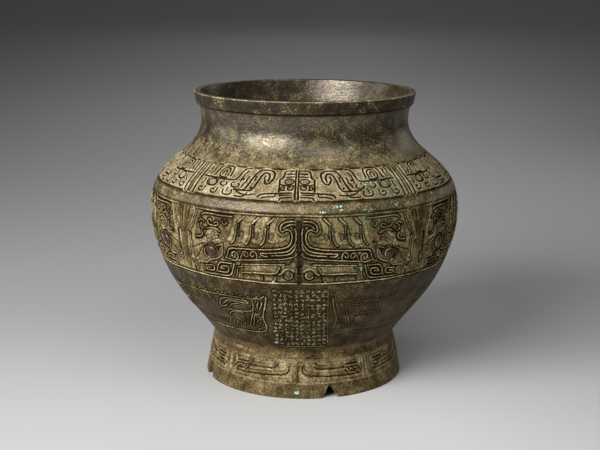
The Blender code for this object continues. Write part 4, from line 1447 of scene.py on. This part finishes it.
class Graph:
    """A material's nodes, added and joined one call at a time."""

    def __init__(self, name: str) -> None:
        """Starts a material with a Principled shader."""
        self.material = bpy.data.materials.new(name)
        self.material.use_nodes = True
        self.tree = self.material.node_tree
        self.shader = self.tree.nodes["Principled BSDF"]
        self.place = self.add("ShaderNodeTexCoord").outputs["Object"]

    def add(self, kind: str, **settings: object) -> bpy.types.Node:
        """A new node with its settings."""
        node = self.tree.nodes.new(kind)
        for name, value in settings.items():
            setattr(node, name, value)
        return node

    def feed(self, socket: Socket, value: object) -> None:
        """Joins an output to a socket, or sets the socket's own value."""
        if isinstance(value, Socket):
            self.tree.links.new(value, socket)
        else:
            socket.default_value = value

    def finish(self, **values: object) -> None:
        """Feeds the shader's sockets, named with an underscore for each space."""
        for name, value in values.items():
            self.feed(self.shader.inputs[name.replace("_", " ")], value)

    def math(self, operation: str, first: object, second: object = 0.0,
             clamp: bool = False) -> Socket:
        """One sum of two numbers."""
        node = self.add("ShaderNodeMath", operation=operation, use_clamp=clamp)
        self.feed(node.inputs[0], first)
        self.feed(node.inputs[1], second)
        return node.outputs[0]

    def product(self, *factors: object) -> Socket:
        """All the factors multiplied."""
        whole = factors[0]
        for factor in factors[1:]:
            whole = self.math("MULTIPLY", whole, factor)
        return whole

    def noise(self, scale: float, detail: float, roughness: float,
              stretch: Colour = (1, 1, 1)) -> Socket:
        """Cloudy noise from 0 to 1; scale is in blobs per metre."""
        mapping = self.add("ShaderNodeMapping")
        self.feed(mapping.inputs["Vector"], self.place)
        mapping.inputs["Scale"].default_value = stretch
        node = self.add("ShaderNodeTexNoise")
        self.feed(node.inputs["Vector"], mapping.outputs["Vector"])
        node.inputs["Scale"].default_value = scale
        node.inputs["Detail"].default_value = detail
        node.inputs["Roughness"].default_value = roughness
        return node.outputs["Fac"]

    def cells(self, scale: float) -> Socket:
        """Distance to the nearest of scattered points; scale is in points per metre."""
        node = self.add("ShaderNodeTexVoronoi")
        self.feed(node.inputs["Vector"], self.place)
        node.inputs["Scale"].default_value = scale
        return node.outputs["Distance"]

    def step(self, value: object, low: float, high: float, bottom: float = 0.0,
             top: float = 1.0) -> Socket:
        """Eased step from bottom to top as a value passes from low to high."""
        node = self.add("ShaderNodeMapRange", interpolation_type="SMOOTHSTEP")
        numbers = {"Value": value, "From Min": low, "From Max": high, "To Min": bottom,
                   "To Max": top}
        for socket, number in numbers.items():
            self.feed(node.inputs[socket], number)
        return node.outputs["Result"]

    def blend(self, share: object, first: object, second: object) -> Socket:
        """Mixes two colours by a share."""
        node = self.add("ShaderNodeMix", data_type="RGBA")
        self.feed(node.inputs["Factor"], share)
        for socket, value in zip((node.inputs[6], node.inputs[7]), (first, second)):
            self.feed(socket, (*value, 1.0) if isinstance(value, tuple) else value)
        return node.outputs[2]

    def mix(self, share: object, first: object, second: object) -> Socket:
        """Mixes two numbers by a share."""
        node = self.add("ShaderNodeMix", data_type="FLOAT")
        self.feed(node.inputs["Factor"], share)
        self.feed(node.inputs[2], first)
        self.feed(node.inputs[3], second)
        return node.outputs[0]

    def total(self, *terms: tuple[object, object]) -> Socket:
        """Adds up products of two numbers."""
        whole: object = 0.0
        for first, second in terms:
            node = self.add("ShaderNodeMath", operation="MULTIPLY_ADD")
            for socket, value in zip(node.inputs, (first, second, whole)):
                self.feed(socket, value)
            whole = node.outputs[0]
        return whole

    def ramp(self, value: object, stops: Sequence[tuple[float, Colour]]) -> Socket:
        """Colour that runs through stops as a value rises."""
        node = self.add("ShaderNodeValToRGB")
        self.feed(node.inputs[0], value)
        elements = node.color_ramp.elements
        while len(elements) < len(stops):
            elements.new(1.0)
        for element, (place, colour) in zip(elements, stops):
            element.position = place
            element.color = (*colour, 1.0)
        return node.outputs[0]


class BronzeGraph(Graph):
    """The bronze's nodes, with what its tone, colour, shine and bump share."""

    def __init__(self) -> None:
        """Adds the stain layers, the noises and the shares made of them."""
        super().__init__("bronze")
        self.deposit, self.polish, self.grain, self.verdigris, self.hollow, self.warmth = (
            self.add("ShaderNodeAttribute", attribute_name=stain.name.lower()).outputs["Fac"]
            for stain in Stain)
        # sunk turns the hollow layer into painted shade; the crest below is lighter from wear and
        # painted light
        self.sunk = self.step(self.hollow, 0.05, 0.70)
        self.crest = self.step(self.hollow, -0.15, -0.80)
        self.cloud = self.noise(80, 4, 0.65)
        self.fine = self.noise(450, 3, 0.75)
        self.speck = self.noise(900, 2, 0.70)
        self.brushed = self.noise(170, 4, 0.75, (1.0, 1.0, 3.2))
        self.gloss = self.step(self.polish, 0.0, 0.7)
        self.bead = self.product(self.step(self.polish, 0.6, 1.0),
                                 self.step(self.warmth, 0.80, 0.95))
        # Painted shade: dark colour and no shine in low places that hold no earth
        self.shade = self.product(self.sunk, self.step(self.deposit, 0.90, 0.50, 0.0, 0.89))
        self.green = self.product(self.step(self.verdigris, 0.5, 0.8),
                                  self.step(self.cells(360), 0.50, 0.34))


@dataclass(frozen=True)
class OldBronze:
    """Dark olive bronze with brown patches, tan earth in the carving, green rust in spots and
    painted shade in its hollows.
    """

    tones: tuple[tuple[float, Colour], ...] = (
        (0.00, (0.009, 0.006, 0.003)), (0.18, (0.032, 0.023, 0.010)),
        (0.36, (0.097, 0.070, 0.029)), (0.55, (0.227, 0.174, 0.083)),
        (0.75, (0.410, 0.338, 0.192)), (0.95, (0.730, 0.645, 0.450)))
    golden: Colour = (1.0, 0.955, 0.86)
    brown: Colour = (0.060, 0.030, 0.012)
    bare: Colour = (0.040, 0.014, 0.006)
    metal: Colour = (0.210, 0.176, 0.132)
    copper: Colour = (0.380, 0.215, 0.140)
    # Painted shade in low places
    crevice: Colour = (0.011, 0.008, 0.004)
    green: Colour = (0.520, 0.830, 0.640)
    green_wash: Colour = (0.070, 0.100, 0.050)
    rust: Colour = (0.150, 0.048, 0.026)
    sheen: Colour = (1.0, 0.93, 0.80)

    def tone(self, graph: BronzeGraph) -> Socket:
        """How light the surface is: earth and painted highlights light, crests lighter from wear
        and painted light, with grit and scattered flecks.

        Args:
            graph: the bronze's nodes.

        Returns:
            A number from 0 to about 1.
        """
        grit = graph.total((graph.fine, 2.2), (graph.speck, 1.4), (graph.cloud, 2.2), (1.0, -2.9))
        mixed = graph.product(graph.deposit,
                              graph.math("SUBTRACT", 1.0, graph.deposit, clamp=True))
        strength = graph.total((1.0, 0.28), (mixed, 0.62), (graph.grain, 0.04),
                               (graph.polish, 0.22))
        flecks = graph.product(graph.step(graph.noise(620, 2, 0.6), 0.56, 0.68),
                               graph.step(graph.cloud, 0.44, 0.60, 0.10, 1.0),
                               graph.step(graph.deposit, 0.40, 0.10, 0.06, 0.34))
        where = graph.total((1.0, 1.0), (graph.grain, 0.9), (graph.sunk, -1.9))
        flecks = graph.math("MULTIPLY", flecks, where, clamp=True)
        # crest lightens crests, for wear and as painted highlight where edges catch the light
        return graph.total((1.0, 0.12), (graph.deposit, 0.74), (graph.crest, 0.21),
                           (graph.product(grit, strength), 1.0), (flecks, 1.0))

    def colour(self, graph: BronzeGraph, tone: Socket, worn: Socket) -> Socket:
        """The surface's colour: the tone's, warmer low down, under its stains and painted shade one
        after another.

        Args:
            graph: the bronze's nodes.
            tone: how light it is.
            worn: where bare metal shows.

        Returns:
            The colour.
        """
        colour = graph.ramp(tone, self.tones)
        tinted = graph.add("ShaderNodeVectorMath", operation="MULTIPLY")
        graph.feed(tinted.inputs[0], colour)
        tinted.inputs[1].default_value = self.golden
        level = graph.add("ShaderNodeSeparateXYZ")
        graph.feed(level.inputs["Vector"], graph.place)
        low_down = graph.step(level.outputs["Z"], 0.234, 0.222)
        colour = graph.blend(low_down, colour, tinted.outputs["Vector"])
        reddish = graph.product(graph.step(graph.noise(16, 4, 0.6), 0.50, 0.66),
                                graph.math("SUBTRACT", 0.5, graph.grain, clamp=True))
        warm = graph.product(graph.warmth, graph.step(graph.cloud, 0.40, 0.56))
        reddish = graph.product(graph.math("MAXIMUM", reddish, warm),
                                graph.step(tone, 0.55, 0.30))
        bead = graph.blend(graph.step(graph.fine, 0.52, 0.62), self.bare, self.rust)
        copper = graph.math("MULTIPLY", graph.step(graph.warmth, 0.60, 0.95),
                            graph.step(graph.fine, 0.30, 0.48), clamp=True)
        copper = graph.product(copper, graph.step(graph.polish, 0.5, 0.2))
        wash = graph.product(graph.step(graph.verdigris, 0.0, 0.5),
                             graph.step(graph.cloud, 0.40, 0.60, 0.1, 0.5))
        # shade lays the painted crevice shade over low places
        for share, stain in ((reddish, self.brown), (graph.product(worn, 0.18), self.metal),
                             (graph.bead, bead), (graph.shade, self.crevice),
                             (copper, self.copper), (wash, self.green_wash),
                             (graph.product(graph.green, 0.95), self.green)):
            colour = graph.blend(share, colour, stain)
        return colour

    def shine(self, graph: BronzeGraph, tone: Socket, worn: Socket) -> None:
        """Feeds the gloss: polished metal shines, earth, green rust and painted shade in trenches
        are dull.

        Args:
            graph: the bronze's nodes.
            tone: how light it is.
            worn: where bare metal shows.
        """
        dull = graph.product(graph.step(tone, 0.30, 0.60),
                             graph.total((1.0, 1.0), (graph.crest, -0.5)))
        dull = graph.math("MAXIMUM", graph.math("MAXIMUM", dull, graph.green), graph.shade)
        dull = graph.mix(graph.bead, dull, 0.0)
        metallic = graph.math("ADD", graph.mix(graph.gloss, 0.05, 0.20),
                              graph.product(worn, 0.35))
        rough = graph.math("ADD", graph.mix(graph.gloss, 0.46, 0.25),
                           graph.step(graph.speck, 0.42, 0.58, -0.07, 0.08))
        shine = graph.mix(graph.gloss, 0.17, graph.step(graph.brushed, 0.38, 0.62, 0.50, 2.60))
        shine = graph.mix(graph.bead, graph.mix(dull, shine, 0.06), 0.4)
        # Painted shade also takes the specular reflection out of low places
        lit = graph.math("SUBTRACT", 1.0, graph.shade, clamp=True)
        graph.finish(Metallic=graph.mix(graph.bead, graph.mix(dull, metallic, 0.0), 0.0),
                     Roughness=graph.mix(dull, graph.mix(graph.bead, rough, 0.13), 0.70),
                     Specular_IOR_Level=graph.product(shine, lit),
                     Specular_Tint=(*self.sheen, 1.0))

    def bump(self, graph: BronzeGraph) -> Socket:
        """Fine grit, brush marks and pits, shallow so that the metal keeps its shine.

        Args:
            graph: the bronze's nodes.

        Returns:
            The shader's normal.
        """
        pits = graph.step(graph.cells(190), 0.16, 0.05)
        strength = graph.mix(graph.gloss, graph.mix(graph.grain, 0.7, 1.0), 0.45)
        node = graph.add("ShaderNodeBump")
        graph.feed(node.inputs["Height"], graph.total((graph.fine, 0.6), (graph.speck, 0.4),
                                                      (graph.brushed, 0.4), (pits, -0.8)))
        graph.feed(node.inputs["Strength"], graph.mix(graph.bead, strength, 0.1))
        node.inputs["Distance"].default_value = 0.0006
        return node.outputs["Normal"]

    def make(self) -> bpy.types.Material:
        """The bronze as a material; it reads the stain layers and object coordinates.

        Returns:
            The material.
        """
        graph = BronzeGraph()
        tone = self.tone(graph)
        worn = graph.product(graph.step(graph.polish, 0.15, 0.60), graph.step(tone, 0.42, 0.22),
                             graph.step(graph.warmth, 0.95, 0.80))
        self.shine(graph, tone, worn)
        graph.finish(Base_Color=self.colour(graph, tone, worn), Normal=self.bump(graph))
        return graph.material


@dataclass(frozen=True)
class PaperFloor:
    """Pale matt floor with painted light: brighter in front of the vessel and along its middle."""

    edge_tone: float = 0.41
    front_gain: float = 0.13
    middle_gain: float = 0.26
    front: tuple[float, float] = (0.25, -0.24)
    middle: float = 0.15
    nearest: float = 2.0
    half_width: float = 0.40
    radius: float = 26.0
    rings: int = 24
    columns: int = 96

    def material(self) -> bpy.types.Material:
        """The floor's material: the edge's tone, with painted light as one gain to the front and
        one to the middle.

        The middle's gain falls to nothing at half_width times the way from the viewer's side, which
        lies nearest metres in front of the vessel.

        Returns:
            The material.
        """
        graph = Graph("floor_paper")
        parts = graph.add("ShaderNodeSeparateXYZ")
        graph.feed(parts.inputs["Vector"], graph.place)
        forward = graph.step(parts.outputs["Y"], *self.front, 0.0, self.front_gain)
        aside = graph.math("ABSOLUTE", graph.math("SUBTRACT", parts.outputs["X"], self.middle))
        reach = graph.total((parts.outputs["Y"], self.half_width),
                            (self.nearest, self.half_width))
        inward = graph.math("SUBTRACT", 1.0, graph.math("DIVIDE", aside, reach), clamp=True)
        # Painted light: the floor is brighter in front and along the middle, where lamps would
        # light it
        tone = graph.total((1.0, self.edge_tone), (forward, 1.0), (inward, self.middle_gain))
        graph.finish(Base_Color=tone, Roughness=0.9, Specular_IOR_Level=0.2)
        return graph.material

    def make(self) -> None:
        """A round floor of rings that widen with distance."""
        turn = np.linspace(0, 2 * math.pi, self.columns, endpoint=False)[None, :]
        reach = np.geomspace(0.2, self.radius, self.rings)[:, None]
        places = around(reach, turn, np.zeros_like(reach)).reshape(-1, 3)
        rings = np.arange(self.rings * self.columns).reshape(self.rings, self.columns)
        faces = quads_of(closed_rings(rings))[:, ::-1].tolist()
        mesh = bpy.data.meshes.new("floor")
        mesh.from_pydata(places.tolist(), [], [*faces, rings[0].tolist()])
        mesh.materials.append(self.material())
        placed("floor", mesh)


# The studio

@dataclass(frozen=True)
class SoftLight:
    """A soft rectangular light aimed at a point of the vessel; power in watts."""

    name: str
    place: tuple[float, float, float]
    aim: tuple[float, float, float]
    size: tuple[float, float]
    power: float

    def make(self) -> None:
        """Sets up the light."""
        data = bpy.data.lights.new(self.name, "AREA")
        data.shape = "RECTANGLE"
        data.size, data.size_y = self.size
        data.energy = self.power
        lamp = placed(self.name, data)
        way = Vector(self.aim) - Vector(self.place)
        turn = way.to_track_quat("-Z", "Y").to_matrix().to_4x4()
        lamp.matrix_world = Matrix.Translation(self.place) @ turn


@dataclass(frozen=True)
class Studio:
    """Floor, soft lights, a dim surround, and the camera where the photograph was taken from.

    Distance, height, side and surround are in metres and grey; pitch, roll and bearing in degrees.
    """

    distance: float = 1.407
    height: float = 0.490
    pitch: float = 12.55
    roll: float = 0.28
    bearing: float = 1.9
    side: float = -0.005
    lens: float = 71.82
    sensor: float = 36.0
    surround: float = 0.080
    lights: tuple[SoftLight, ...] = (
        SoftLight("key", (-1.08, -1.28, 1.10), (0.0, 0.0, 0.20), (1.30, 0.90), 42.0),
        SoftLight("left", (-1.40, 0.05, 0.45), (0.0, 0.0, 0.20), (0.4, 0.5), 2.2),
        SoftLight("top", (0.40, -0.80, 1.30), (0.2, -0.5, 0.0), (0.9, 0.6), 4.0),
        SoftLight("side", (1.30, 1.15, 0.80), (0.0, 0.0, 0.20), (0.4, 0.9), 1.5),
        SoftLight("behind", (-0.10, 2.0, 1.3), (-0.1, 2.0, 0.0), (0.6, 2.0), 2.7),
        SoftLight("far", (-0.20, 4.5, 1.6), (-0.2, 4.5, 0.0), (0.8, 4.0), 3.9),
    )

    def make_camera(self) -> None:
        """The camera, from its measured distance, height, tilt and roll."""
        turn = math.radians(self.bearing)
        sine, cosine = math.sin(turn), math.cos(turn)
        place = Vector((self.distance * sine + self.side * cosine,
                        self.side * sine - self.distance * cosine, self.height))
        data = bpy.data.cameras.new("camera")
        data.lens = self.lens
        data.sensor_width = self.sensor
        camera = placed("camera", data)
        camera.matrix_world = (Matrix.Translation(place) @ Matrix.Rotation(turn, 4, "Z")
                               @ Matrix.Rotation(math.radians(90 - self.pitch), 4, "X")
                               @ Matrix.Rotation(math.radians(self.roll), 4, "Z"))
        bpy.context.scene.camera = camera

    def make(self) -> None:
        """The whole studio."""
        PaperFloor().make()
        for light in self.lights:
            light.make()
        world = bpy.data.worlds.new("surround")
        world.use_nodes = True
        backdrop = world.node_tree.nodes["Background"]
        backdrop.inputs["Color"].default_value = (self.surround,) * 3 + (1.0,)
        bpy.context.scene.world = world
        bpy.context.scene.view_settings.view_transform = "Standard"
        self.make_camera()


def main() -> None:
    """Makes the vessel piece by piece, then the studio."""
    logging.basicConfig(level=logging.INFO, format="%(name)s: %(message)s")
    bronze = OldBronze().make()
    TurnedBody().make(bronze)
    FootRim().make(bronze)
    for band in BANDS:
        for number in range(len(band.plates)):
            band.make_plate(number, bronze)
    Studio().make()


if __name__ == "__main__":
    main()
